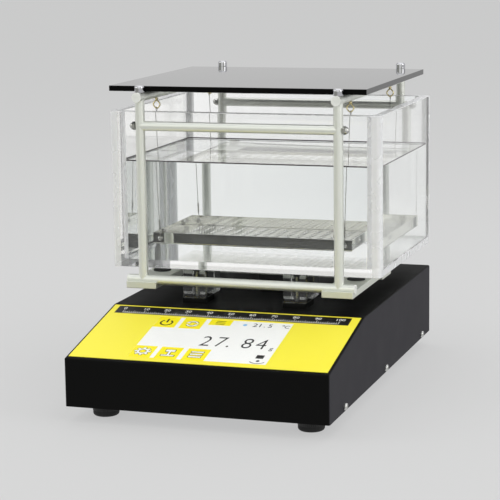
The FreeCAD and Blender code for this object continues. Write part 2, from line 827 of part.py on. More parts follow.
def dome_nut(side, y):
    outward = Vector(side, 0, 0)
    start = Vector(side * (post_x + tube_radius), y, cross_tube_z)
    dome_radius = nut_dome_diameter / 2
    hexed = hexagon(nut_flats, nut_hex_length, start, outward)
    dome = Part.makeSphere(dome_radius, start + outward * (nut_hex_length + nut_dome_length - dome_radius))
    hole = Part.makeCylinder(tie_rod_diameter / 2 + tie_rod_fit, tie_rod_reach + tie_rod_fit, start, outward)
    inside = centred_block(start.x - side * nut_flats / 2, y, cross_tube_z - nut_flats,
                           nut_flats, 2 * nut_flats, 2 * nut_flats)
    return cut_all(fuse_all([hexed, dome]), [hole, inside])


def tie_rods_and_nuts():
    reach = post_x + tube_radius + tie_rod_reach
    rods = [rod_x(tie_rod_diameter, -reach, reach, y, cross_tube_z) for y in post_ys]
    return group(rods + [dome_nut(side, y) for side in sides for y in post_ys])


def top_beam(side):
    x = side * post_x
    half = beam_length / 2 - cap_flange
    tube = rod_y(tube_diameter, frame_y - half, frame_y + half, x, beam_z)
    bore = rod_y(2 * tube_bore_radius, frame_y - half - overrun, frame_y + half + overrun, x, beam_z)
    pin_holes = [rod_z(pin_shank_diameter + 2 * bolt_fit, beam_z - tube_diameter,
                       beam_z + tube_diameter, x, y) for y in post_ys]
    eye_holes = [rod_z(eye_shank_diameter + 2 * tube_fit, beam_z - tube_diameter, beam_z, x, y)
                 for y in eye_ys]
    return cut_all(tube, [bore] + pin_holes + eye_holes)


def end_cap(place, outward):
    # A plastic plug: a disc the size of the tube, a spigot in its bore and a small pull notch
    disc = Part.makeCylinder(tube_radius, cap_flange, place, outward)
    spigot = Part.makeCylinder(tube_bore_radius - cap_fit, cap_spigot_length, place, outward.negative())
    face = place + outward * cap_flange
    notch = Part.makeBox(tube_radius, cap_notch_width, 2 * cap_notch_depth,
                         Vector(-tube_radius / 2, -cap_notch_width / 2, -cap_notch_depth))
    notch.Placement = FreeCAD.Placement(face, FreeCAD.Rotation(Vector(0, 0, 1), outward))
    return fuse_all([disc, spigot]).cut(notch)


def tube_end_caps():
    beam_half = beam_length / 2 - cap_flange
    tube_half = bottom_tube_length / 2 - cap_flange
    caps = [end_cap(Vector(side * post_x, frame_y + end * beam_half, beam_z), Vector(0, end, 0))
            for side in sides for end in sides]
    caps += [end_cap(Vector(side * tube_half, y, bottom_tube_z), Vector(side, 0, 0))
             for side in sides for y in post_ys]
    return group(caps)


def post_bolts():
    bolts = []
    for side in sides:
        for y in post_ys:
            x = side * post_x
            shank = rod_z(post_bolt_diameter, bar_bottom_z,
                          bottom_tube_z + tube_radius + post_bolt_grip, x, y)
            bolts.append(fuse_all([post_bolt_cone(x, y, 0), shank]))
    return group(bolts)


def locating_pins():
    pins = []
    for side in sides:
        for y, height in zip(post_ys, [front_pin_height, rear_pin_height]):
            x = side * post_x
            top_z = beam_top_z + height
            head = rod_z(pin_diameter, beam_top_z, top_z, x, y)
            head = head.makeFillet(pin_crown, edges_where(head, lambda edge: level_edge(edge, top_z)))
            shank = rod_z(pin_shank_diameter, beam_top_z - pin_shank_length, beam_top_z, x, y)
            pins.append(fuse_all([head, shank]))
    return group(pins)


def screw_eyes():
    eyes = []
    for side in sides:
        for y in eye_ys:
            centre = Vector(side * post_x, y, eye_z)
            ring = Part.makeTorus(eye_ring_diameter / 2, eye_wire_diameter / 2, centre, Vector(0, 1, 0))
            shank = rod_z(eye_shank_diameter, eye_z + eye_ring_diameter / 2,
                          beam_z - eye_shank_top_gap, centre.x, y)
            eyes.append(fuse_all([ring, shank]))
    return group(eyes)


# Weighing plate

plate_depth = post_spacing_y - pin_diameter - 2 * plate_pin_gap


def weighing_plate():
    plate = centred_block(plate_offset_x, frame_y, plate_bottom_z, plate_width, plate_depth, plate_thickness)
    return plate.makeFillet(plate_corner_radius, edges_where(plate, upright_edge))


# Hangers, tray and its screws

hanger_pivot_z = eye_z - eye_ring_diameter / 2
hanger_loop_z = (hanger_pivot_z + eye_wire_diameter / 2 + hanger_gap + hanger_wire_diameter / 2
                 - hanger_top_loop_diameter / 2)
tray_ends = [frame_y - tray_depth / 2, frame_y + tray_depth / 2]


def hanger(side, end):
    # A loop through the eye, a straight wire, and a loop round the tray's screw
    y = eye_ys[end]
    top = Vector(side * post_x, y, hanger_loop_z)
    low = Vector(side * tray_screw_x, y, tray_screw_z)
    wire_radius = hanger_wire_diameter / 2
    top_loop = Part.makeTorus(hanger_top_loop_diameter / 2, wire_radius, top, Vector(1, 0, 0))
    low_loop = Part.makeTorus(hanger_low_loop_diameter / 2, wire_radius, low, Vector(0, 1, 0))
    start = top - Vector(0, 0, hanger_top_loop_diameter / 2)
    run = low - start
    length = run.Length - hanger_low_loop_diameter / 2
    wire = Part.makeCylinder(wire_radius, length, start, run)
    return fuse_all([wire, top_loop, low_loop])


def tray_holes():
    across = tray_width - 2 * tray_hole_margin
    along = tray_depth - 2 * tray_hole_margin
    columns = int(across / tray_hole_pitch)
    rows = int(along / tray_hole_pitch)
    places = [((i - (columns - 1) / 2) * tray_hole_pitch, frame_y + (j - (rows - 1) / 2) * tray_hole_pitch)
              for i in range(columns) for j in range(rows)]
    return [rod_z(tray_hole_diameter, tray_bottom_z - overrun, tray_bottom_z + tray_sheet + overrun, x, y)
            for x, y in places]


def tray_screw_places():
    # Each place is the point on the wall's outer face, the way out, and the length of bare neck
    for side in sides:
        for out, wall_y in zip(sides, tray_ends):
            yield Vector(side * tray_screw_x, wall_y, tray_screw_z), Vector(0, out, 0), tray_screw_neck
        for end in sides:
            side_y = frame_y + end * (tray_depth / 2 - tray_side_screw_inset)
            side_z = tray_bottom_z + tray_side_screw_height
            yield Vector(side * tray_width / 2, side_y, side_z), Vector(side, 0, 0), 0


def bent_box(shape, radius, z):
    return shape.makeFillet(radius, edges_where(shape, lambda edge: level_edge(edge, z)))


def tray():
    body = centred_block(0, frame_y, tray_bottom_z, tray_width, tray_depth, tray_height)
    hollow = centred_block(0, frame_y, tray_bottom_z + tray_sheet, tray_width - 2 * tray_sheet,
                           tray_depth - 2 * tray_sheet, tray_height)
    shell = bent_box(body, tray_bend_radius, tray_bottom_z).cut(
        bent_box(hollow, tray_bend_radius - tray_sheet, tray_bottom_z + tray_sheet))
    screw_holes = [Part.makeCylinder(tray_screw_diameter / 2 + bolt_fit, 2 * overrun,
                                     outer - outward * overrun, outward)
                   for outer, outward, neck in tray_screw_places()]
    return cut_all(shell, screw_holes + tray_holes())


def tray_screws():
    # A domed head outside the wall and a hexagon nut inside it
    pieces = []
    for outer, outward, neck in tray_screw_places():
        seat = outer + outward * neck
        dome_radius = (tray_screw_head_diameter ** 2 / 4 + tray_screw_head_height ** 2) / (
            2 * tray_screw_head_height)
        ball = Part.makeSphere(dome_radius, seat + outward * (tray_screw_head_height - dome_radius))
        head = ball.common(Part.makeCylinder(tray_screw_head_diameter / 2, tray_screw_head_height,
                                             seat, outward))
        inner = outer - outward * (tray_sheet + tray_nut_height)
        shank = Part.makeCylinder(tray_screw_diameter / 2, (seat - inner).Length, inner, outward)
        nut = hexagon(tray_nut_flats, tray_nut_height, inner, outward)
        bore = Part.makeCylinder(tray_screw_diameter / 2 + tube_fit,
                                 tray_nut_height + 2 * overrun, inner - outward * overrun, outward)
        pieces += [fuse_all([head, shank]), nut.cut(bore)]
    return group(pieces)


# Tank and the pillars that it stands on

def round_uprights(shape, test):
    chosen = edges_where(shape, lambda edge: upright_edge(edge) and test(edge))
    return shape.makeFillet(tank_edge_radius, chosen)


def tank_panels():
    half = tank_width / 2
    front = block(-half, half, tank_front_y, tank_front_y + tank_wall, tank_bottom_z, tank_top_z)
    front = round_uprights(front, lambda edge: edge.BoundBox.YMax < tank_front_y + tank_wall / 2)
    rear = block(-half, half, tank_back_y - tank_wall, tank_back_y, tank_bottom_z, tank_top_z)
    rear = round_uprights(rear, lambda edge: edge.BoundBox.YMin > tank_back_y - tank_wall / 2)
    left = block(-half, tank_wall - half, tank_front_y + tank_wall, tank_back_y - tank_wall,
                 tank_bottom_z, tank_top_z)
    right = block(half - tank_wall, half, tank_front_y + tank_wall, tank_back_y - tank_wall,
                  tank_bottom_z, tank_top_z)
    floor = block(tank_wall - half, half - tank_wall, tank_front_y + tank_wall, tank_back_y - tank_wall,
                  tank_bottom_z, tank_bottom_z + tank_floor_thickness)
    return {"tank_front_panel": front, "tank_rear_panel": rear, "tank_left_panel": left,
            "tank_right_panel": right, "tank_floor": floor}


def pillar_places():
    return [(side * pillar_centre_x, block_y, pillar_y)
            for side in sides for block_y, pillar_y in zip(pillar_block_ys, pillar_ys)]


def pillar_head_cone(x, y, grow):
    top = pillar_top_z - pillar_screw_recess
    return Part.makeCone(pillar_screw_diameter / 2 + grow, pillar_screw_head_diameter / 2 + grow,
                         pillar_screw_head_height, Vector(x, y, top - pillar_screw_head_height),
                         Vector(0, 0, 1))


def pillar_blocks():
    blocks = []
    for x, y, _ in pillar_places():
        body = centred_block(x, y, cover_top_z, pillar_block_width, pillar_block_depth, pillar_block_height)
        body = body.makeFillet(pillar_edge_radius, edges_where(body, upright_edge))
        blocks.append(body.cut(rod_z(pillar_hole_diameter, cover_top_z - overrun,
                                     cover_top_z + pillar_block_height + overrun, x, y)))
    return group(blocks)


def tank_pillars():
    pillars = []
    base_z = cover_top_z + pillar_block_height
    for x, screw_y, y in pillar_places():
        body = centred_block(x, y, base_z, pillar_width, pillar_depth, pillar_top_z - base_z)
        body = body.makeFillet(pillar_edge_radius, edges_where(body, upright_edge))
        hole = rod_z(pillar_hole_diameter, base_z - overrun, pillar_top_z + overrun, x, screw_y)
        mouth = rod_z(pillar_screw_head_diameter + 2 * pillar_screw_fit, pillar_top_z - pillar_screw_recess,
                      pillar_top_z + overrun, x, screw_y)
        pillars.append(cut_all(body, [hole, pillar_head_cone(x, screw_y, pillar_screw_fit), mouth]))
    return group(pillars)


def pillar_screws():
    pieces = []
    nut_top = cover_top_z - cover_sheet
    for x, y, _ in pillar_places():
        shank = rod_z(pillar_screw_diameter, nut_top - pillar_screw_tail,
                      pillar_top_z - pillar_screw_recess - pillar_screw_head_height, x, y)
        pieces.append(fuse_all([shank, pillar_head_cone(x, y, 0)]))
        nut = hexagon(pillar_nut_flats, pillar_nut_height, Vector(x, y, nut_top - pillar_nut_height),
                      Vector(0, 0, 1))
        bore = rod_z(pillar_screw_diameter + 2 * tube_fit, nut_top - pillar_nut_height - overrun,
                     nut_top + overrun, x, y)
        pieces.append(nut.cut(bore))
    return group(pieces)


housing_pieces = {
    "housing_cover": housing_cover,
    "base_plate": base_plate,
    "foot_bushes": foot_bushes,
    "side_screws": side_screws,
    "front_overlay": front_overlay,
    "display_glass": display_glass,
    "display_module": display_module,
    "display_board": display_board,
    "main_board": main_board,
    "board_spacers": board_spacers,
    "serial_port": serial_port,
    "power_inlet": power_inlet,
    "load_cell": load_cell,
    "load_cell_mount": load_cell_mount,
    "load_cell_screws": load_cell_screws,
    "overload_stop": overload_stop,
    "pillar_blocks": pillar_blocks,
    "tank_pillars": tank_pillars,
    "pillar_screws": pillar_screws,
}
frame_pieces = {
    "load_receiver": load_receiver,
    "bridge_plate": bridge_plate,
    "frame_screws": frame_screws,
    "bar_bumpers": bar_bumpers,
    "tie_rods_and_nuts": tie_rods_and_nuts,
    "tube_end_caps": tube_end_caps,
    "post_bolts": post_bolts,
    "locating_pins": locating_pins,
    "screw_eyes": screw_eyes,
    "weighing_plate": weighing_plate,
    "tray": tray,
    "tray_screws": tray_screws,
}

for node, build in {**housing_pieces, **frame_pieces}.items():
    export(node, build())

for node, panel in tank_panels().items():
    export(node, panel)

for side in sides:
    export("side_bar_" + side_names[side], side_bar(side))
    export("top_beam_" + side_names[side], top_beam(side))

for end, end_name in enumerate(end_names):
    export("bottom_tube_" + end_name, bottom_tube(end))
    export("cross_tube_" + end_name, cross_tube(end))
    for side, x in zip(sides, foot_xs):
        corner = end_name + "_" + side_names[side]
        export("post_" + corner, post(side, end))
        export("hanger_" + corner, hanger(side, end))
        export("foot_pad_" + corner, foot_pad(x, foot_ys[end]))
        export("foot_wheel_" + corner, foot_wheel(x, foot_ys[end]))
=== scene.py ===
import math

import bmesh
import bpy
from mathutils import Matrix, Vector


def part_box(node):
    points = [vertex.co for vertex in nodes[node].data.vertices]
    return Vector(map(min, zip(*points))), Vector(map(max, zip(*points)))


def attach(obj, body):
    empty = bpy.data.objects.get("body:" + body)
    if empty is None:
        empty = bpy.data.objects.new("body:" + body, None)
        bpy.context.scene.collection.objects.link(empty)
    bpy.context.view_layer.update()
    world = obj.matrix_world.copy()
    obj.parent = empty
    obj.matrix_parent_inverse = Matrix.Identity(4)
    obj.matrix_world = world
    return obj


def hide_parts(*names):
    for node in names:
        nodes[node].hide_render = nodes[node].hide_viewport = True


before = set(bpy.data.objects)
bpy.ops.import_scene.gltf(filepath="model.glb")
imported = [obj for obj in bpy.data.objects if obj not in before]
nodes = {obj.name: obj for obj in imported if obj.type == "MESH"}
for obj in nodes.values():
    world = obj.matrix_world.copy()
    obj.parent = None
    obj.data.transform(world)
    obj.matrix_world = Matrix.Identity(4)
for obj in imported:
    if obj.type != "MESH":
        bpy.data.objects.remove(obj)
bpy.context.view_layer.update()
mm = 0.001  # the scene is in metres, the sizes below in millimetres
tiny = 1e-6  # metres within which two places count as one
lookDown = -0.9  # a face whose normal's Z is under this looks down
sides = {-1: "left", 1: "right"}
ends = {-1: "front", 1: "rear"}
corners = [(end, side) for end in ends for side in sides]
print("frame loaded:", len(nodes), "nodes")


def hexColour(code):
    # sRGB hex to the linear values that the shaders work in
    channels = [int(code[i:i + 2], 16) / 255 for i in (1, 3, 5)]
    return [c / 12.92 if c <= 0.04045 else ((c + 0.055) / 1.055) ** 2.4 for c in channels] + [1.0]


def emptyTree(block):
    # An empty node tree for a material or a world
    block.use_nodes = True
    block.node_tree.nodes.clear()
    return block.node_tree


def addNode(tree, kind, links=None, values=None, **settings):
    # links: input name or index -> output socket, values: input name or index -> plain value
    node = tree.nodes.new(kind)
    for name, value in settings.items():
        setattr(node, name, value)
    for key, value in (values or {}).items():
        node.inputs[key].default_value = value
    for key, socket in (links or {}).items():
        tree.links.new(socket, node.inputs[key])
    return node


def newMaterial(name, **principled):
    # A material with one Principled shader; underscores in the keywords stand for spaces
    material = bpy.data.materials.new(name)
    tree = emptyTree(material)
    shader = addNode(tree, "ShaderNodeBsdfPrincipled",
                     values={key.replace("_", " "): value for key, value in principled.items()})
    output = addNode(tree, "ShaderNodeOutputMaterial", {"Surface": shader.outputs[0]})
    return material, tree, shader, output


def objectPlace(tree, scale=(1, 1, 1)):
    # Object coordinates, stretched where a pattern runs along one way
    place = addNode(tree, "ShaderNodeTexCoord").outputs["Object"]
    return addNode(tree, "ShaderNodeMapping", {"Vector": place}, {"Scale": scale}).outputs[0]


def grain(tree, sizeMm, detail=2.0, place=None):
    # Noise with one grain about every sizeMm millimetres
    place = place or objectPlace(tree)
    return addNode(tree, "ShaderNodeTexNoise", {"Vector": place},
                   {"Scale": 1 / (sizeMm * mm), "Detail": detail}).outputs["Fac"]


def spread(tree, source, low, high, fromLow=0.3, fromHigh=0.7):
    # Stretches a value to a range of roughness, metal or mix
    return addNode(tree, "ShaderNodeMapRange", {"Value": source},
                   {"From Min": fromLow, "From Max": fromHigh, "To Min": low, "To Max": high}).outputs[0]


def relief(tree, shader, height, strength, depthMm):
    bump = addNode(tree, "ShaderNodeBump", {"Height": height},
                   {"Strength": strength, "Distance": depthMm * mm})
    tree.links.new(bump.outputs[0], shader.inputs["Normal"])


def tint(tree, factor, first, second):
    # Two colours, each a hex code or a socket, blended by a factor
    links, values = {0: factor}, {}
    for key, colour in ((6, first), (7, second)):
        if isinstance(colour, str):
            values[key] = hexColour(colour)
        else:
            links[key] = colour
    return addNode(tree, "ShaderNodeMix", links, values, data_type="RGBA").outputs[2]


def mixShaders(tree, factor, first, second):
    return addNode(tree, "ShaderNodeMixShader", {0: factor, 1: first, 2: second}).outputs[0]


def splitWay(tree, way):
    return addNode(tree, "ShaderNodeSeparateXYZ", {0: way}).outputs


def facing(tree):
    # The way that the surface faces, split in X, Y and Z
    return splitWay(tree, addNode(tree, "ShaderNodeNewGeometry").outputs["Normal"])


# Metals

def satinAnodised():
    # Anodised aluminium tube, satin: its milky oxide scatters, under fine draw lines and a soft highlight
    material, tree, shader, _ = newMaterial("satin anodised aluminium", Metallic=0.75)
    lines = grain(tree, 0.8, 3, objectPlace(tree, (1, 1, 0.06)))
    speck = grain(tree, 0.35)
    tree.links.new(tint(tree, lines, "#E3E5DE", "#ECEEE8"), shader.inputs["Base Color"])
    tree.links.new(spread(tree, lines, 0.34, 0.44), shader.inputs["Roughness"])
    relief(tree, shader, speck, 0.25, 0.02)
    return material


def milledAluminium():
    # Anodised bar, sawn and satin blasted: a flatter grey with a faint grain along its length
    material, tree, shader, _ = newMaterial("satin anodised bar", Metallic=1.0)
    lines = grain(tree, 0.7, 3, objectPlace(tree, (1, 0.05, 1)))
    tree.links.new(tint(tree, lines, "#DBDDD4", "#E6E8E0"), shader.inputs["Base Color"])
    tree.links.new(spread(tree, lines, 0.42, 0.52), shader.inputs["Roughness"])
    relief(tree, shader, lines, 0.2, 0.02)
    return material


def brightSteel(name, code, roughness, streakMm, streakWay):
    # Rolled, polished or plated steel: a clear mirror with faint polishing streaks
    material, tree, shader, _ = newMaterial(name, Metallic=1.0, Base_Color=hexColour(code))
    streaks = grain(tree, streakMm, 3, objectPlace(tree, streakWay))
    tree.links.new(spread(tree, streaks, roughness * 0.7, roughness * 1.4), shader.inputs["Roughness"])
    relief(tree, shader, streaks, 0.06, 0.01)
    return material


def traySteel():
    # Stainless sheet: bright rolled walls, and faces that look up are dulled by brushing
    material, tree, shader, _ = newMaterial("brushed stainless sheet")
    brushed = spread(tree, facing(tree)["Z"], 0, 1, 0.5, 0.8)
    lines = grain(tree, 0.5, 2, objectPlace(tree, (0.05, 1, 1)))
    colour = tint(tree, brushed, "#F8F8F3", tint(tree, lines, "#C2C2BA", "#D0D0C8"))
    tree.links.new(colour, shader.inputs["Base Color"])
    tree.links.new(spread(tree, brushed, 0.05, 0.2, 0, 1), shader.inputs["Roughness"])
    tree.links.new(spread(tree, brushed, 1.0, 0.88, 0, 1), shader.inputs["Metallic"])
    return material


def wornBrass():
    # Bent brass wire: yellow metal, duller where it has tarnished
    material, tree, shader, _ = newMaterial("tarnished brass wire", Metallic=1.0)
    patches = grain(tree, 1.5, 3)
    tree.links.new(tint(tree, patches, "#EFDC9C", "#FFF4CC"), shader.inputs["Base Color"])
    tree.links.new(spread(tree, patches, 0.16, 0.34), shader.inputs["Roughness"])
    return material


# Paint, plastic and rubber

def powderCoat():
    # Black powder coat with a fine orange peel; the side faces are painted paler, as painted light from the
    # sides
    material, tree, shader, _ = newMaterial("black powder coat", IOR=1.45)
    shader.inputs["Specular IOR Level"].default_value = 0.1
    peel = grain(tree, 0.55, 2)
    cloud = grain(tree, 38, 2)
    # Painted light: faces that look sideways get the paler colour, standing in for light falling on the sides
    sideways = addNode(tree, "ShaderNodeMath", {0: facing(tree)["X"]}, operation="ABSOLUTE").outputs[0]
    paintedSideLight = spread(tree, sideways, 0, 1, 0.55, 0.95)
    flat = tint(tree, cloud, "#050505", "#090909")
    pale = tint(tree, cloud, "#302F33", "#333237")
    tree.links.new(tint(tree, paintedSideLight, flat, pale), shader.inputs["Base Color"])
    tree.links.new(spread(tree, cloud, 0.58, 0.64), shader.inputs["Roughness"])
    relief(tree, shader, peel, 0.35, 0.05)
    return material


def mouldedPlastic(name, codeA, codeB, roughness, sizeMm=0.9, gloss=0.5):
    # Moulded part with a faint spark-eroded texture
    material, tree, shader, _ = newMaterial(name, IOR=1.5)
    texture = grain(tree, sizeMm, 2)
    tree.links.new(tint(tree, grain(tree, 12, 2), codeA, codeB), shader.inputs["Base Color"])
    tree.links.new(spread(tree, texture, roughness - 0.06, roughness + 0.08), shader.inputs["Roughness"])
    shader.inputs["Specular IOR Level"].default_value = gloss
    relief(tree, shader, texture, 0.2, 0.03)
    return material


def blackGlass():
    # Solid black glass sheet: mirrors the room at a low angle and is pure black face on
    material, tree, shader, _ = newMaterial("polished black glass", IOR=1.55)
    wipes = grain(tree, 40, 3, objectPlace(tree, (1, 0.35, 1)))
    tree.links.new(tint(tree, wipes, "#040405", "#08080A"), shader.inputs["Base Color"])
    tree.links.new(spread(tree, wipes, 0.02, 0.06), shader.inputs["Roughness"])
    return material


def printedFilm(name, codeA, codeB, roughness=0.42):
    # Screen-printed polyester film, matt lacquered so that it doesn't glare
    material, tree, shader, _ = newMaterial(name, IOR=1.5)
    shader.inputs["Specular IOR Level"].default_value = 0.25
    texture = grain(tree, 0.5, 2)
    tree.links.new(tint(tree, grain(tree, 30, 2), codeA, codeB), shader.inputs["Base Color"])
    tree.links.new(spread(tree, texture, roughness - 0.05, roughness + 0.06), shader.inputs["Roughness"])
    relief(tree, shader, texture, 0.1, 0.01)
    return material


# Clear stuff

def clearBody(name, ior, roughness, code, shadowCode, clear=1.0):
    # Glass-like body that lets the lamps' light through, so that what is inside is lit; where clear is under
    # 1, the rest scatters, as fine scratches do; at the tank's edges and the water's edge this scattering is
    # painted light
    material, tree, shader, output = newMaterial(name, IOR=ior, Base_Color=hexColour(code))
    shader.inputs["Transmission Weight"].default_value = clear
    haze = grain(tree, 25, 2)
    tree.links.new(spread(tree, haze, roughness * 0.5, roughness * 1.5), shader.inputs["Roughness"])
    lampRay = addNode(tree, "ShaderNodeLightPath").outputs["Is Shadow Ray"]
    through = addNode(tree, "ShaderNodeBsdfTransparent", values={"Color": hexColour(shadowCode)})
    tree.links.new(mixShaders(tree, lampRay, shader.outputs[0], through.outputs[0]), output.inputs["Surface"])
    return material


def openSide(name, code):
    # Water against acrylic: the acrylic's own face bends the light for both, so this only tints it
    material = bpy.data.materials.new(name)
    tree = emptyTree(material)
    through = addNode(tree, "ShaderNodeBsdfTransparent", values={"Color": hexColour(code)})
    addNode(tree, "ShaderNodeOutputMaterial", {"Surface": through.outputs[0]})
    return material


finish = {
    "tube": satinAnodised(),
    "bar": milledAluminium(),
    "powderCoat": powderCoat(),
    "stainless": brightSteel("bright stainless fasteners", "#C9C9C6", 0.2, 0.6, (1, 1, 0.2)),
    "zinc": brightSteel("zinc plated steel", "#B9BDC4", 0.24, 0.5, (1, 0.2, 1)),
    "chrome": brightSteel("polished chrome", "#C4C4C8", 0.06, 0.8, (1, 1, 0.1)),
    "tray": traySteel(),
    "wire": brightSteel("stainless wire", "#A9A8A2", 0.25, 0.4, (1, 1, 0.1)),
    "screw": brightSteel("bright turned screws", "#D2D2D0", 0.22, 0.5, (1, 1, 0.2)),
    "milled": brightSteel("milled aluminium", "#BFC1C2", 0.35, 0.5, (0.05, 1, 1)),
    "brass": wornBrass(),
    "rubber": mouldedPlastic("black rubber", "#0C0C0C", "#121212", 0.75, 0.5),
    "blackPlastic": mouldedPlastic("black polyamide", "#0A0A0A", "#101010", 0.38),
    "gloss": mouldedPlastic("black acetal", "#070707", "#0B0B0B", 0.18),
    "nylon": mouldedPlastic("natural nylon", "#DEDFDB", "#E8E9E6", 0.45),
    "blackAnodised": mouldedPlastic("black anodised block", "#111112", "#18181A", 0.4),
    "board": mouldedPlastic("green solder mask", "#14532F", "#1B6038", 0.4),
    "display": mouldedPlastic("display case", "#17181A", "#1D1E20", 0.5),
    "glassPlate": blackGlass(),
    # Painted shade: a duller, darker copy of the black glass for the plate's front and rear edges
    "shadedGlassEdge": mouldedPlastic("black glass edge painted dark", "#020202", "#050505", 0.5, 0.3, 0.06),
    "yellow": printedFilm("yellow printed film", "#F9EC3E", "#FBEE44"),
    "tile": printedFilm("tile yellow under glass", "#FFEE00", "#FFF100", 0.3),
    "screenWhite": printedFilm("lit display white", "#F6F6F4", "#FAFAF8", 0.3),
    "ink": printedFilm("black printing ink", "#0B0A0D", "#111014", 0.4),
    "whiteInk": printedFilm("white printing ink", "#F2F2F0", "#F8F8F6", 0.4),
    "blueInk": printedFilm("light blue ink", "#7FB9E6", "#8CC4EE", 0.4),
    "acrylic": clearBody("clear cast acrylic", 1.49, 0.002, "#FEFEFE", "#F4F6F6", 0.97),
    # Painted highlight: a whitish, mostly scattering acrylic for the glow at the tank's ends, rims and
    # rounded corners
    "paintedEdgeGlow": clearBody("acrylic edge painted white", 1.49, 0.25, "#F0F0F2", "#F4F6F6", 0.25),
    "acrylicWet": clearBody("cast acrylic under water", 1.49 / 1.333, 0.0, "#FFFFFF", "#FFFFFF"),
    "pillar": clearBody("polished acrylic rod", 1.49, 0.01, "#F6F8F8", "#F0F2F2"),
    "water": clearBody("still water", 1.333, 0.0, "#FCFEFF", "#F6FBFC"),
    # Painted shade: an opaque dark purple for the line where the water meets the acrylic
    "meniscusShade": clearBody("water edge painted dark", 1.333, 0.1, "#3C2E39", "#D8D4D8", 0.0),
    "waterSide": openSide("water against acrylic", "#F8F9F9"),
    "waterFoot": openSide("water on the tank's floor", "#FFFFFF"),
}
nodeFinish = {
    "housing_cover": "powderCoat", "base_plate": "zinc", "foot_bushes": "brass", "side_screws": "screw",
    "display_module": "display", "display_board": "board", "main_board": "board",
    "board_spacers": "nylon", "serial_port": "zinc", "power_inlet": "blackPlastic",
    "load_cell": "milled", "load_cell_mount": "milled", "load_cell_screws": "zinc",
    "overload_stop": "zinc", "pillar_blocks": "gloss", "pillar_screws": "stainless",
    "load_receiver": "blackAnodised", "bridge_plate": "bar", "frame_screws": "stainless",
    "bar_bumpers": "rubber", "tie_rods_and_nuts": "stainless", "tube_end_caps": "nylon",
    "post_bolts": "stainless", "locating_pins": "chrome", "tray": "tray", "tray_screws": "screw",
    "tank_pillars": "pillar",
}
for side, hand in sides.items():
    nodeFinish["side_bar_" + hand] = "bar"
    nodeFinish["top_beam_" + hand] = "tube"
for end, place in ends.items():
    nodeFinish["bottom_tube_" + place] = "tube"
    nodeFinish["cross_tube_" + place] = "tube"
for end, side in corners:
    corner = ends[end] + "_" + sides[side]
    nodeFinish["post_" + corner] = "tube"
    nodeFinish["hanger_" + corner] = "wire"
    nodeFinish["foot_pad_" + corner] = "rubber"
    nodeFinish["foot_wheel_" + corner] = "blackPlastic"
for node, name in nodeFinish.items():
    for slot in nodes[node].material_slots:
        slot.material = finish[name]
print("finishes on", len(nodeFinish), "frame nodes")


def newObject(name, data):
    thing = bpy.data.objects.new(name, data)
    bpy.context.scene.collection.objects.link(thing)
    return thing


def addPiece(bm, name, body, materials, replaced=(), smooth=False):
    # Turns a bmesh into a piece of the object that rides on a body
    mesh = bpy.data.meshes.new(name)
    bm.to_mesh(mesh)
    bm.free()
    for key in materials:
        mesh.materials.append(finish[key])
    if smooth:
        mesh.shade_smooth()
    piece = newObject(name, mesh)
    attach(piece, body)
    if replaced:
        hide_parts(*replaced)


def boxMesh(bm, low, high):
    # A block between two corners; gives back its vertices
    low, high = Vector(low), Vector(high)
    place = Matrix.Translation((low + high) / 2) @ Matrix.Diagonal((*(high - low), 1))
    return bmesh.ops.create_cube(bm, size=1, matrix=place)["verts"]


def bevelEdges(bm, edges, width, segments):
    bmesh.ops.bevel(bm, geom=edges, offset=width, segments=segments, profile=0.5, material=-1,
                    affect="EDGES")


def edgesOf(verts, test):
    found = {edge for vert in verts for edge in vert.link_edges}
    return [edge for edge in found if edge.is_valid and test(edge)]


def upright(edge):
    a, b = (vert.co for vert in edge.verts)
    return abs(a.x - b.x) + abs(a.y - b.y) < tiny


def topFace(faces):
    return max(faces, key=lambda face: face.calc_center_median().z)


def cut(bm, place, normal, faces=None):
    # Splits the whole mesh, or only some of its faces, at a plane
    if faces is None:
        geom = bm.verts[:] + bm.edges[:] + bm.faces[:]
    else:
        geom = faces + list({edge for face in faces for edge in face.edges})
    bmesh.ops.bisect_plane(bm, geom=geom, plane_co=place, plane_no=normal)


# Weighing plate: a loose sheet of black glass; its front and rear edges are painted darker and duller

plateSheet = {"corner": 1.0, "arris": 0.4, "cornerSegments": 5, "arrisSegments": 2}


def makePlate():
    low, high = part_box("weighing_plate")
    bm = bmesh.new()
    verts = boxMesh(bm, low, high)
    bevelEdges(bm, edgesOf(verts, upright), plateSheet["corner"] * mm, plateSheet["cornerSegments"])
    rims = [edge for edge in bm.edges if abs(edge.verts[0].co.z - edge.verts[1].co.z) < tiny]
    bevelEdges(bm, rims, plateSheet["arris"] * mm, plateSheet["arrisSegments"])
    bm.normal_update()
    for face in bm.faces:  # front and rear edges get a duller, darker copy of the glass as painted shade; the sides are polished
        if abs(face.normal.y) > 0.5:
            face.material_index = 1
    addPiece(bm, "weighing_sheet", "plate", ["glassPlate", "shadedGlassEdge"],
             ["weighing_plate"])


makePlate()
print("weighing plate made")


# Tank: five acrylic sheets glued into one open box, and the water in it

tank = {  # sharpAngle in radians, squareOn and turned as parts of a normal, nearShare as part of a wall
    "wall": 10.0, "floor": 8.0, "cornerRadius": 5.0, "cornerSegments": 6, "arris": 0.6, "arrisSegments": 2,
    "sharpAngle": 1.2, "squareOn": 0.99, "turned": 0.05, "nearShare": 0.9, "fillet": 6.5, "filletSegments": 4,
    "waterTop": 255.0, "waterGap": 0.02, "meniscus": 1.6, "meniscusRise": 1.6, "meniscusSteps": 3,
    "pillarBed": 0.2,
}


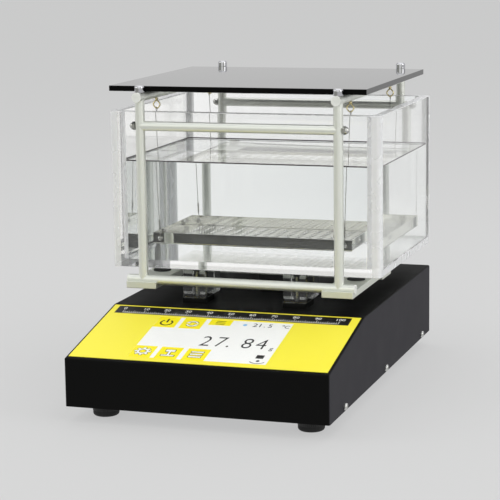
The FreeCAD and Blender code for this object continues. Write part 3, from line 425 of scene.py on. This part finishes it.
def makeTank():
    # An outer and an inner box, the inner one with glue fillets in its corners, joined by a rim
    names = ["tank_front_panel", "tank_rear_panel", "tank_left_panel", "tank_right_panel", "tank_floor"]
    low = Vector([min(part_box(n)[0][i] for n in names) for i in range(3)])
    high = Vector([max(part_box(n)[1][i] for n in names) for i in range(3)])
    wall, floor, arris = tank["wall"] * mm, tank["floor"] * mm, tank["arris"] * mm
    squareOn, near = tank["squareOn"], tank["nearShare"]
    bm = bmesh.new()
    outer = boxMesh(bm, low, high)
    bevelEdges(bm, edgesOf(outer, upright), tank["cornerRadius"] * mm, tank["cornerSegments"])
    bmesh.ops.delete(bm, geom=[topFace(bm.faces)], context="FACES_ONLY")
    outerFaces = set(bm.faces)
    inner = boxMesh(bm, low + Vector((wall, wall, floor)), high - Vector((wall, wall, 0)))
    bevelEdges(bm, edgesOf(inner, upright), tank["fillet"] * mm, tank["filletSegments"])
    innerFaces = [face for face in bm.faces if face not in outerFaces]
    lid = topFace(innerFaces)
    innerFaces.remove(lid)
    bmesh.ops.reverse_faces(bm, faces=innerFaces)
    bmesh.ops.delete(bm, geom=[lid], context="FACES_ONLY")
    rims = [edge for edge in bm.edges if edge.is_boundary]
    bmesh.ops.bridge_loops(bm, edges=rims)
    bmesh.ops.recalc_face_normals(bm, faces=bm.faces)
    sharp = [edge for edge in bm.edges if edge.calc_face_angle(0) > tank["sharpAngle"]]
    ledges = [edge for edge in sharp if not upright(edge) and edge.verts[0].co.z > low.z + wall
              or max(vert.co.z for vert in edge.verts) < low.z + tiny]
    bevelEdges(bm, ledges, arris, tank["arrisSegments"])
    for i in (0, 1):  # the glued ends of the sheets, as strips beside each corner
        across = Vector((1 - i, i, 0))
        for place in (low[i] + wall, high[i] - wall):
            skins = [face for face in bm.faces
                     if abs(face.normal[1 - i]) > squareOn and face.calc_area() > wall ** 2]
            cut(bm, across * place, across, skins)
    skins = [face for face in bm.faces
             if abs(face.normal.x) > squareOn and abs(face.calc_center_median().x) > high.x - arris]
    cut(bm, low + Vector((0, 0, floor)), (0, 0, 1), skins)
    waterZ = tank["waterTop"] * mm
    cut(bm, (0, 0, waterZ), (0, 0, 1))
    inside = low + Vector((wall, wall, floor)) * near, high - Vector((wall, wall, 0)) * near
    bm.normal_update()
    for face in bm.faces:
        centre = face.calc_center_median()
        deep = all(inside[0][i] < centre[i] < inside[1][i] for i in (0, 1))
        if deep and low.z + floor * near < centre.z < waterZ:
            face.material_index = 1
        # Light that runs along a sheet comes out at its ends, rims and rounded corners; there a mostly
        # scattering white copy of the acrylic is a painted highlight for that glow
        corner = all(not low[i] + wall < centre[i] < high[i] - wall for i in (0, 1))
        rim = abs(centre.z - high.z) < arris or centre.z < low.z + arris * near and face.normal.z > lookDown
        rounded = (min(abs(face.normal.x), abs(face.normal.y)) > tank["turned"]
                   and abs(face.normal.z) < tank["turned"])
        foot = abs(face.normal.x) > squareOn and centre.z < low.z + floor
        if corner or rim or rounded or foot:
            face.material_index = 2
    addPiece(bm, "acrylic_tank", "water_tank", ["acrylic", "acrylicWet", "paintedEdgeGlow"],
             names)


def makeWater():
    wall, gap = tank["wall"] * mm, tank["waterGap"] * mm
    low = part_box("tank_left_panel")[0].copy()
    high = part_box("tank_right_panel")[1].copy()
    low += Vector((wall + gap, gap, tank["floor"] * mm + gap))
    high += Vector((-wall - gap, -gap, 0))
    high.z = tank["waterTop"] * mm
    bm = bmesh.new()
    verts = boxMesh(bm, low, high)
    bevelEdges(bm, edgesOf(verts, upright), tank["fillet"] * mm + gap, tank["filletSegments"])
    top = topFace(bm.faces)
    steps = tank["meniscusSteps"]
    for step in range(steps):  # the edge of the surface curls up against the wall, steeper near it
        rings = bmesh.ops.inset_region(bm, faces=[top], thickness=tank["meniscus"] * mm / steps,
                                       use_even_offset=True)["faces"]
        # The rings nearest the wall get the opaque dark purple, a painted shade line; the innermost ring
        # stays water
        for face in rings:
            face.material_index = 1 if step == steps - 1 else 2
        drop = tank["meniscusRise"] * mm * (steps - step) / sum(range(steps + 1))
        bmesh.ops.translate(bm, verts=top.verts, vec=(0, 0, -drop))
    top.material_index = 1
    bm.normal_update()
    for face in bm.faces:
        if face.normal.z < 0.2:  # not of the surface
            face.material_index = 3 if face.normal.z < lookDown else 0
    addPiece(bm, "tank_water", "water_tank", ["waterSide", "water", "meniscusShade", "waterFoot"])


def makePillars():
    # Clear rods whose lower ends are bedded in black on their blocks
    bm = bmesh.new()
    bm.from_mesh(nodes["tank_pillars"].data)
    bmesh.ops.remove_doubles(bm, verts=bm.verts, dist=tiny)
    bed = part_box("tank_pillars")[0].z + tank["pillarBed"] * mm
    for face in bm.faces:
        face.material_index = int(face.normal.z < lookDown and face.calc_center_median().z < bed)
    addPiece(bm, "clear_pillars", "base", ["pillar", "gloss"], ["tank_pillars"])


makeTank()
makeWater()
makePillars()
print("tank and water made")


# Front panel: printed film, header band, glass screen and what it shows

panelFoot = Vector((0, -228.0, 68.3)) * mm  # where the slope starts, at the front edge
slopeAngle = math.atan2(29.7, 139.5)  # rise over run of the sloping panel
panel = {
    "film": (-140.6, 140.6, 4.9, 139.63), "filmThickness": 0.4,
    "window": (-78.2, 73.0, 13.3, 115.63), "glass": (-82.2, 77.0, 9.3, 119.63), "glassThickness": 1.8,
    "band": (-134.0, 131.5, 118.4, 137.2), "ink": 0.05,
    "columns": [(-78.0, -53.8), (-48.9, -24.6), (-19.2, 5.6)], "upperRow": (89.2, 115.4),
    "narrowTile": (101.6, 115.4), "lowerRow": (14.0, 41.4),
    "glassArris": 0.15, "iconRim": 0.7, "drop": (21.4, 106.0, 2.3),
}
onPanel = Matrix.Translation(panelFoot) @ Matrix.Rotation(slopeAngle, 4, "X")


def slab(bm, area, bottom, top):
    left, right, low, high = area
    return boxMesh(bm, (left * mm, low * mm, bottom * mm), (right * mm, high * mm, top * mm))


def arcBar(bm, x, s, radius, width, start, sweep, bottom, top, steps):
    # A flat bar bent round a centre: its section is spun about the normal of the panel
    section = bmesh.ops.create_grid(bm, x_segments=1, y_segments=1, size=0.5)["verts"]
    size = Matrix.Diagonal((width * mm, (top - bottom) * mm, 1, 1))
    out = Matrix.Translation((radius * mm, 0, (top + bottom) / 2 * mm))
    turn = Matrix.Rotation(math.radians(start), 4, "Z")
    place = Matrix.Translation((x * mm, s * mm, 0))
    stand = Matrix.Rotation(math.pi / 2, 4, "X")
    bmesh.ops.transform(bm, verts=section, matrix=place @ turn @ out @ stand @ size)
    faces = list({face for vert in section for face in vert.link_faces})
    full = abs(sweep) >= 360
    bmesh.ops.spin(bm, geom=section + [edge for face in faces for edge in face.edges] + faces,
                   cent=(x * mm, s * mm, 0), axis=(0, 0, 1), angle=math.radians(sweep), steps=steps,
                   use_merge=full)
    rims = [edge for edge in bm.edges if edge.is_boundary]
    if rims and not full:
        bmesh.ops.holes_fill(bm, edges=rims, sides=4)


def prism(bm, x, s, radius, sides, turn, bottom, top):
    # A small solid of that many sides, such as a dot, an arrow's head or a tooth
    place = Matrix.Translation((x * mm, s * mm, (top + bottom) / 2 * mm)) @ Matrix.Rotation(
        math.radians(turn), 4, "Z")
    bmesh.ops.create_cone(bm, cap_ends=True, segments=sides, radius1=radius * mm, radius2=radius * mm,
                          depth=(top - bottom) * mm, matrix=place)


def panelPiece(bm, name, finishKey, replaced=()):
    bmesh.ops.remove_doubles(bm, verts=bm.verts, dist=tiny / 10)
    bmesh.ops.recalc_face_normals(bm, faces=bm.faces)
    bmesh.ops.transform(bm, matrix=onPanel, verts=bm.verts)
    addPiece(bm, name, "base", [finishKey], replaced)


def lettering(bm, words, x, s, height, bottom, top, squeeze=1.0, bold=0.0):
    # Plain figures from the built-in font, made a mesh and laid on the panel's plane
    figureShare = 0.73  # of the font's size, the height of a figure
    curve = bpy.data.curves.new("figures", "FONT")
    curve.body, curve.size, curve.align_x = words, height / figureShare, "CENTER"
    curve.extrude, curve.resolution_u, curve.offset = (top - bottom) / 2, 4, bold
    holder = bpy.data.objects.new("figures", curve)
    mesh = bpy.data.meshes.new_from_object(holder)
    mesh.transform(Matrix.Translation((x * mm, s * mm, (top + bottom) / 2 * mm))
                   @ Matrix.Diagonal((mm * squeeze, mm, mm, 1)))
    bm.from_mesh(mesh)
    bpy.data.objects.remove(holder)
    bpy.data.meshes.remove(mesh)
    bpy.data.curves.remove(curve)


def makeFilm():
    bm = bmesh.new()
    slab(bm, panel["film"], 0, panel["filmThickness"])
    left, right, low, high = (v * mm for v in panel["window"])
    for co, no in (((left, 0, 0), (1, 0, 0)), ((right, 0, 0), (1, 0, 0)),
                   ((0, low, 0), (0, 1, 0)), ((0, high, 0), (0, 1, 0))):
        cut(bm, co, no)
    hole = [face for face in bm.faces
            if left < face.calc_center_median().x < right and low < face.calc_center_median().y < high]
    bmesh.ops.delete(bm, geom=hole, context="FACES")
    bmesh.ops.bridge_loops(bm, edges=[edge for edge in bm.edges if edge.is_boundary])
    panelPiece(bm, "panel_film", "yellow", ["front_overlay"])


def makeScreen():
    bm = bmesh.new()
    verts = slab(bm, panel["glass"], -panel["glassThickness"], 0)
    bevelEdges(bm, edgesOf(verts, lambda edge: True), panel["glassArris"] * mm, 1)
    panelPiece(bm, "screen_glass", "screenWhite", ["display_glass"])


headerScale = {
    "left": -125.0, "pitch": 2.45, "steps": 100, "foot": 121.0, "line": (-125.2, 120.2, 120.4, 121.0),
    "halfStroke": 0.22, "tick": 3.0, "fifthTick": 4.6, "tenthTick": 6.2, "figureFoot": 128.9, "figure": 5.4,
}


def makeHeader():
    # A black band with a fine scale and plain figures
    low, top = panel["filmThickness"], panel["filmThickness"] + panel["ink"]
    bm = bmesh.new()
    slab(bm, panel["band"], low, top)
    panelPiece(bm, "header_band", "ink")
    bm = bmesh.new()
    layer = top, top + panel["ink"]
    half, foot = headerScale["halfStroke"], headerScale["foot"]
    for step in range(headerScale["steps"] + 1):
        x = headerScale["left"] + headerScale["pitch"] * step
        height = headerScale["tenthTick" if step % 10 == 0 else "fifthTick" if step % 5 == 0 else "tick"]
        slab(bm, (x - half, x + half, foot, foot + height), *layer)
    slab(bm, headerScale["line"], *layer)
    for step in range(0, headerScale["steps"] + 1, 10):
        x = headerScale["left"] + headerScale["pitch"] * step
        lettering(bm, str(step), x, headerScale["figureFoot"], headerScale["figure"], *layer)
    panelPiece(bm, "header_scale", "whiteInk")


def tiles(bm, bottom, top):
    upper, lower, narrow = panel["upperRow"], panel["lowerRow"], panel["narrowTile"]
    areas = [(*panel["columns"][0], *upper), (*panel["columns"][1], *upper), (*panel["columns"][2], *narrow)]
    areas += [(*column, *lower) for column in panel["columns"]]
    for area in areas:
        slab(bm, area, bottom, top)


icons = {  # centres as x and s, areas as left, right, low and high, arcs as start and sweep
    "arrows": (-36.6, 101.4), "arrowRadius": 5.6, "arrowWidth": 2.2, "arrowStarts": (20, 200),
    "arrowSweep": 125, "headAt": 132, "headSize": 2.9,
    "gear": (-66.0, 27.8), "gearRadius": 5.2, "gearWidth": 2.4, "teeth": 8, "toothAt": 7.6, "toothSize": 1.9,
    "levelFoot": (-43.6, -29.4, 20.2, 22.6), "levelPost": (-37.7, -35.3, 22.6, 30.5),
    "levelHead": (-41.6, -31.4, 30.5, 35.0),
    "list": (-13.6, -0.2), "listFeet": (20.6, 26.4, 32.2), "listHeight": 2.6,
    "power": (-66.2, 101.0), "powerRadius": 6.4, "powerWidth": 1.9, "powerArc": (125, 290),
    "powerBar": (-67.2, -65.2, 101.5, 110.5),
    "menu": (-12.0, -1.6), "menuMiddles": (104.4, 108.0, 111.6), "menuHalf": 0.55,
    "load": (57.4, 65.6, 27.4, 35.4), "pivot": (61.9, 21.6), "pivotRadius": 1.9,
    "dial": (61.9, 26.3), "dialRadius": 10.6, "dialWidth": 1.0, "dialArc": (222, 96),
    "degree": (63.6, 109.4), "degreeRadius": 1.1, "degreeWidth": 0.6,
}
reading = {  # large figures as words and x, small ones as words, x, s, height and squeeze
    "large": (("2", -7.0), ("7", 9.2), (".", 19.0), ("8", 38.6), ("4", 54.2)),
    "foot": 49.6, "height": 25.0, "squeeze": 0.74, "bold": -0.3,
    "small": (("21", 35.5, 103.0, 8.6, 0.95), (".", 43.5, 103.0, 8.6, 0.95), ("5", 49.5, 103.0, 8.6, 0.95),
              ("g", 67.3, 48.6, 8.0, 0.9), ("C", 68.2, 103.4, 7.0, 0.9)),
}


def onCircle(centre, radius, degrees):
    way = math.radians(degrees)
    return centre[0] + radius * math.cos(way), centre[1] + radius * math.sin(way)


def whiteIcons(bm, grow, bottom, top):
    # Swap arrows, a gear, a level mark and a list; grow makes the same shapes larger, for their dark rims
    for start in icons["arrowStarts"]:
        arcBar(bm, *icons["arrows"], icons["arrowRadius"], icons["arrowWidth"] + 2 * grow, start,
               icons["arrowSweep"], bottom, top, 12)
        head = start + icons["headAt"]
        prism(bm, *onCircle(icons["arrows"], icons["arrowRadius"], head), icons["headSize"] + grow, 3,
              head + 90, bottom, top)
    arcBar(bm, *icons["gear"], icons["gearRadius"], icons["gearWidth"] + 2 * grow, 0, 360, bottom, top, 32)
    for tooth in range(icons["teeth"]):
        turn = tooth * 360 / icons["teeth"]
        prism(bm, *onCircle(icons["gear"], icons["toothAt"], turn), icons["toothSize"] + grow, 4, turn + 45,
              bottom, top)
    for name, growUp in (("levelFoot", grow), ("levelPost", 0), ("levelHead", grow)):
        left, right, low, high = icons[name]
        slab(bm, (left - grow, right + grow, low - growUp, high + growUp), bottom, top)
    left, right = icons["list"]
    for s in icons["listFeet"]:
        slab(bm, (left - grow, right + grow, s - grow, s + icons["listHeight"] + grow), bottom, top)


def blackMarks(bm, bottom, top):
    # Power mark, menu mark, weighing icon, figures and units
    arcBar(bm, *icons["power"], icons["powerRadius"], icons["powerWidth"], *icons["powerArc"],
           bottom, top, 28)
    slab(bm, icons["powerBar"], bottom, top)
    for s in icons["menuMiddles"]:
        slab(bm, (*icons["menu"], s - icons["menuHalf"], s + icons["menuHalf"]), bottom, top)
    slab(bm, icons["load"], bottom, top)
    prism(bm, *icons["pivot"], icons["pivotRadius"], 16, 0, bottom, top)
    arcBar(bm, *icons["dial"], icons["dialRadius"], icons["dialWidth"], *icons["dialArc"], bottom, top, 16)
    for figure, x in reading["large"]:
        lettering(bm, figure, x, reading["foot"], reading["height"], bottom, top, reading["squeeze"],
                  reading["bold"])
    for words, x, s, height, squeeze in reading["small"]:
        lettering(bm, words, x, s, height, bottom, top, squeeze)
    arcBar(bm, *icons["degree"], icons["degreeRadius"], icons["degreeWidth"], 0, 360, bottom, top, 12)


def makeGraphics():
    # Layers of print, each on the one below
    ink = panel["ink"]
    layers = [("screen_tiles", "tile", lambda bm: tiles(bm, 0, ink)),
              ("screen_icon_rims", "ink", lambda bm: whiteIcons(bm, panel["iconRim"], ink, 2 * ink)),
              ("screen_icons", "whiteInk", lambda bm: whiteIcons(bm, 0, 2 * ink, 3 * ink)),
              ("screen_figures", "ink", lambda bm: blackMarks(bm, ink, 2 * ink)),
              ("screen_drop", "blueInk", lambda bm: prism(bm, *panel["drop"], 20, 0, 0, ink))]
    for name, key, draw in layers:
        bm = bmesh.new()
        draw(bm)
        panelPiece(bm, name, key)


makeScreen()
makeHeader()
makeGraphics()
makeFilm()
print("front panel made")


# Screw eyes of bent brass wire, and the hangers with their twisted lower ends

eye = {
    "wire": 1.5, "halfWidth": 4.1, "halfHeight": 4.6, "inX": 4.98, "inY": 0.65, "up": 4.98,
    "cornerTurn": 0.22, "shank": 2.3, "collar": 3.4, "collarFoot": 0.8, "collarHeight": 1.6, "segments": 20,
}
hanger = {
    "wire": 0.7, "twist": 1.5, "twistFrom": 9.0, "twistTo": 22.0, "turns": 5, "turnPoints": 12,
    "swellRate": 8, "topIn": 0.3, "topDown": 2.3, "topLoop": 2.0,
    "footX": 107.0, "footUp": 2.5, "footLoop": 2.2,
}


def wirePiece(name, runs, diameter, body, finishKey, replaced, extra=None):
    # Round wire along one or more lines of points; each run is (points, closed)
    curve = bpy.data.curves.new(name, "CURVE")
    curve.dimensions, curve.bevel_depth, curve.bevel_resolution = "3D", diameter / 2 * mm, 3
    curve.use_fill_caps = True
    for points, closed in runs:
        spline = curve.splines.new("NURBS")
        spline.points.add(len(points) - 1)
        for point, place in zip(spline.points, points):
            point.co = (*place, 1)
        spline.use_cyclic_u, spline.order_u, spline.resolution_u = closed, 3, 4
        spline.use_endpoint_u = not closed
    holder = bpy.data.objects.new(name, curve)
    mesh = bpy.data.meshes.new_from_object(holder)
    bm = bmesh.new()
    bm.from_mesh(mesh)
    bpy.data.objects.remove(holder)
    bpy.data.meshes.remove(mesh)
    if extra:
        extra(bm)
    bmesh.ops.remove_doubles(bm, verts=bm.verts, dist=tiny)
    bmesh.ops.recalc_face_normals(bm, faces=bm.faces)
    addPiece(bm, name, body, [finishKey], replaced, smooth=True)


def makeEyes():
    low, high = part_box("screw_eyes")
    inX, inY = eye["inX"] * mm, eye["inY"] * mm
    wide, tall, turn = eye["halfWidth"] * mm, eye["halfHeight"] * mm, eye["cornerTurn"]
    runs, centres = [], []
    for x in (low.x + inX, high.x - inX):
        for y in (low.y + inY, high.y - inY):
            centre = Vector((x, y, low.z + eye["up"] * mm))
            ring = []
            for k in range(4):  # a rounded diamond: two points close to each corner
                for way in (k * math.pi / 2 - turn, k * math.pi / 2 + turn):
                    ring.append(centre + Vector((wide * math.cos(way), 0, tall * math.sin(way))))
            runs.append((ring, True))
            centres.append(centre)

    def shanks(bm):
        for centre in centres:
            start = centre.z + tall
            collar = start + eye["collarFoot"] * mm
            for width, a, b in ((eye["shank"], start, high.z),
                                (eye["collar"], collar, collar + eye["collarHeight"] * mm)):
                radius = width / 2 * mm
                bmesh.ops.create_cone(bm, cap_ends=True, segments=eye["segments"], radius1=radius,
                                      radius2=radius, depth=b - a,
                                      matrix=Matrix.Translation((centre.x, centre.y, (a + b) / 2)))

    wirePiece("brass_eyes", runs, eye["wire"], "weighing_frame", "brass", ["screw_eyes"],
              shanks)


def circleRun(centre, radius, across, steps=12):
    points = []
    for k in range(steps):
        way = 2 * math.pi * k / steps
        points.append(centre + across * radius * math.cos(way) + Vector((0, 0, radius * math.sin(way))))
    return points, True


def makeHanger(end, side):
    corner = ends[end] + "_" + sides[side]
    low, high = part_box("hanger_" + corner)
    topIn, topLoop, footLoop = hanger["topIn"] * mm, hanger["topLoop"] * mm, hanger["footLoop"] * mm
    eyeX = low.x + topIn if side < 0 else high.x - topIn
    y = (low.y + high.y) / 2
    top = Vector((eyeX, y, high.z - hanger["topDown"] * mm))
    foot = Vector((side * hanger["footX"] * mm, y, low.z + hanger["footUp"] * mm))
    run = (top - foot).normalized()
    start, stop = foot + run * hanger["twistFrom"] * mm, foot + run * hanger["twistTo"] * mm
    runs = [circleRun(foot, footLoop, Vector((1, 0, 0))), circleRun(top, topLoop, Vector((0, 1, 0))),
            ([foot + run * footLoop, start], False), ([stop, top - run * topLoop], False)]
    count = hanger["turns"] * hanger["turnPoints"]
    for phase in (0, math.pi):
        strand = []
        for k in range(count + 1):
            share = k / count
            way = phase + 2 * math.pi * hanger["turns"] * share
            parted = min(1, hanger["swellRate"] * min(share, 1 - share))  # the strands meet at both ends
            swell = parted * hanger["twist"] / 2 * mm
            strand.append(start.lerp(stop, share) + Vector((math.cos(way), math.sin(way), 0)) * swell)
        runs.append((strand, False))
    wirePiece("wire_" + corner, runs, hanger["wire"], "hanger_" + corner, "wire",
              ["hanger_" + corner])


makeEyes()
for end, side in corners:
    makeHanger(end, side)
print("eyes and wires made")


# Camera, at the photograph's place and angle

view = {  # metres, radians, pixels of the photograph, and millimetres of the sensor
    "place": (0.632034, -1.947741, 0.515353), "yaw": -0.3198588, "down": 0.1768877, "roll": -0.0140096,
    "focalPixels": 1846.567, "imagePixels": 500, "sensor": 36.0, "clip": (0.05, 100.0),
}


def makeCamera():
    data = bpy.data.cameras.new("camera")
    data.sensor_width = view["sensor"]
    data.lens = view["focalPixels"] / view["imagePixels"] * view["sensor"]
    data.clip_start, data.clip_end = view["clip"]
    camera = newObject("camera", data)
    yaw, down, roll = view["yaw"], view["down"], view["roll"]
    ahead = Vector((math.sin(yaw) * math.cos(down), math.cos(yaw) * math.cos(down), -math.sin(down)))
    right = Vector((math.cos(yaw), -math.sin(yaw), 0))
    up = right.cross(ahead)
    rolledRight = right * math.cos(roll) + up * math.sin(roll)
    rolledUp = up * math.cos(roll) - right * math.sin(roll)
    turn = Matrix((rolledRight, rolledUp, -ahead)).transposed()
    camera.matrix_world = Matrix.Translation(view["place"]) @ turn.to_4x4()
    bpy.context.scene.camera = camera


# Studio: pale floor, a world that is bright behind and above, soft lamps

studio = {
    "backdrop": "#D4D4D4", "bounce": "#C8C8C8", "floorSize": 60.0, "floorShare": 0.3,
    "darkFloor": "#303030", "nearFloor": "#A4A49E", "paleFloor": "#E6E6E3",
    "front": "#D2D4CA", "rear": "#F4F4F4", "above": "#E4E6E8", "level": 0.85,
    "clearLeft": "#FFFFFE", "clearRight": "#EEF0F0", "frontGlow": "#F4F5EE",
}
floorSpans = {  # metres over which the floor's colours change
    "greyBefore": (-0.9, -0.35), "greyLeft": (-0.15, 0.3), "darkBefore": (-0.5, -0.2), "clear": (-0.4, 0.5),
    "slant": 0.33,
}
roomSpans = {  # parts of a ray's direction over which the room's colours change
    "rear": (-0.35, 0.45), "top": (0.35, 0.9), "clear": (-0.42, -0.2), "right": (0.08, 0.38),
}


def byPlace(tree, value, span, factorA=0, factorB=1):
    return addNode(tree, "ShaderNodeMapRange", {"Value": value},
                   {"From Min": span[0], "From Max": span[1], "To Min": factorA, "To Max": factorB},
                   interpolation_type="SMOOTHSTEP").outputs[0]


def mirroredRay(tree, path):
    # 1 where a mirror has turned the ray on its way
    return addNode(tree, "ShaderNodeMath", {0: path["Glossy Depth"]}, {1: 0.5},
                   operation="GREATER_THAN").outputs[0]


def makeFloor():
    # The camera sees it shaded in part; mirrors, clear things and other light see it in their own colours
    bm = bmesh.new()
    bmesh.ops.create_grid(bm, x_segments=1, y_segments=1, size=studio["floorSize"] / 2)
    mesh = bpy.data.meshes.new("floor")
    bm.to_mesh(mesh)
    bm.free()
    floor = newObject("floor", mesh)
    material = bpy.data.materials.new("pale floor")
    tree = emptyTree(material)
    path = addNode(tree, "ShaderNodeLightPath").outputs
    where = splitWay(tree, addNode(tree, "ShaderNodeNewGeometry").outputs["Position"])
    bounced = addNode(tree, "ShaderNodeBsdfDiffuse", values={"Color": hexColour(studio["bounce"])})
    share = studio["floorShare"]
    shaded = addNode(tree, "ShaderNodeBsdfDiffuse",
                     values={"Color": [c * share for c in hexColour(studio["backdrop"])[:3]] + [1]})
    glow = addNode(tree, "ShaderNodeEmission",
                   values={"Color": hexColour(studio["backdrop"]), "Strength": 1 - share})
    shown = addNode(tree, "ShaderNodeAddShader", {0: shaded.outputs[0], 1: glow.outputs[0]})
    # Glossy things mirror a greyer floor to the left before the object
    behind = byPlace(tree, where["Y"], floorSpans["greyBefore"])
    beside = byPlace(tree, where["X"], floorSpans["greyLeft"])
    pale = addNode(tree, "ShaderNodeMath", {0: behind, 1: beside}, operation="MAXIMUM").outputs[0]
    mirrored = addNode(tree, "ShaderNodeEmission",
                       {"Color": tint(tree, pale, studio["nearFloor"], studio["backdrop"])})
    # Through clear things the floor is a little lighter to the left: a painted falloff of the studio light
    slanted = addNode(tree, "ShaderNodeMath", {0: where["Y"], 2: where["X"]}, {1: floorSpans["slant"]},
                      operation="MULTIPLY_ADD").outputs[0]
    lit = tint(tree, byPlace(tree, slanted, floorSpans["clear"]), studio["clearLeft"], studio["clearRight"])
    # The steel tray mirrors a dark bench before the tank
    seen = tint(tree, byPlace(tree, where["Y"], floorSpans["darkBefore"]), studio["darkFloor"],
                studio["paleFloor"])
    clearGlow = addNode(tree, "ShaderNodeEmission", {"Color": tint(tree, mirroredRay(tree, path), lit, seen)})
    surface = mixShaders(tree, path["Is Camera Ray"], bounced.outputs[0], shown.outputs[0])
    surface = mixShaders(tree, path["Is Glossy Ray"], surface, mirrored.outputs[0])
    surface = mixShaders(tree, path["Is Transmission Ray"], surface, clearGlow.outputs[0])
    addNode(tree, "ShaderNodeOutputMaterial", {"Surface": surface})
    mesh.materials.append(material)


def makeWorld():
    # Brighter to the rear and above as a light; clear things show it nearly white
    world = bpy.data.worlds.new("studio")
    bpy.context.scene.world = world
    tree = emptyTree(world)
    way = splitWay(tree, addNode(tree, "ShaderNodeTexCoord").outputs["Generated"])
    toRear = byPlace(tree, way["Y"], roomSpans["rear"])
    toTop = byPlace(tree, way["Z"], roomSpans["top"])
    room = tint(tree, toTop, tint(tree, toRear, studio["front"], studio["rear"]), studio["above"])
    lit = tint(tree, byPlace(tree, way["X"], roomSpans["clear"]), studio["clearLeft"], studio["clearRight"])
    clearRoom = tint(tree, toRear, studio["frontGlow"], lit)
    path = addNode(tree, "ShaderNodeLightPath").outputs
    # The steel tray mirrors light from the left rear only
    toLeft = byPlace(tree, way["X"], roomSpans["right"], 1, 0)
    leftRear = addNode(tree, "ShaderNodeMath", {0: toRear, 1: toLeft}, operation="MULTIPLY").outputs[0]
    seen = tint(tree, leftRear, studio["darkFloor"], studio["clearLeft"])
    through = tint(tree, mirroredRay(tree, path), clearRoom, seen)
    light = addNode(tree, "ShaderNodeBackground", {"Color": room}, {"Strength": studio["level"]})
    shown = addNode(tree, "ShaderNodeBackground", values={"Color": hexColour(studio["backdrop"])})
    clear = addNode(tree, "ShaderNodeBackground", {"Color": through})
    surface = mixShaders(tree, path["Is Camera Ray"], light.outputs[0], shown.outputs[0])
    surface = mixShaders(tree, path["Is Transmission Ray"], surface, clear.outputs[0])
    addNode(tree, "ShaderNodeOutputWorld", {"Surface": surface})


lamps = {  # place, aim, width, height, watts
    "overhead": ((0.1, 0.4, 2.2), (0, 0, 0.1), 2.4, 2.0, 16),
    "right": ((2.4, -0.4, 1.2), (0, 0, 0.2), 1.4, 1.6, 18),
    "left": ((-2.2, -1.2, 1.4), (0, 0, 0.2), 1.2, 1.4, 12),
    "front": ((0.5, -3.4, 1.8), (0, 0, 0.25), 4.4, 2.8, 32),
}


def makeLamps():
    for name, (place, aim, width, height, watts) in lamps.items():
        data = bpy.data.lights.new(name, "AREA")
        data.shape = "RECTANGLE"
        data.size, data.size_y, data.energy = width, height, watts
        lamp = newObject(name, data)
        turn = (Vector(aim) - Vector(place)).to_track_quat("-Z", "Y").to_matrix().to_4x4()
        lamp.matrix_world = Matrix.Translation(place) @ turn


makeCamera()
makeFloor()
makeWorld()
makeLamps()
scene = bpy.context.scene
scene.view_settings.view_transform = "Standard"
scene.cycles.max_bounces = 24  # light needs many turns to leave the acrylic and the water
scene.cycles.transmission_bounces = 24
scene.cycles.glossy_bounces = 16
scene.cycles.transparent_max_bounces = 24
print("studio ready")
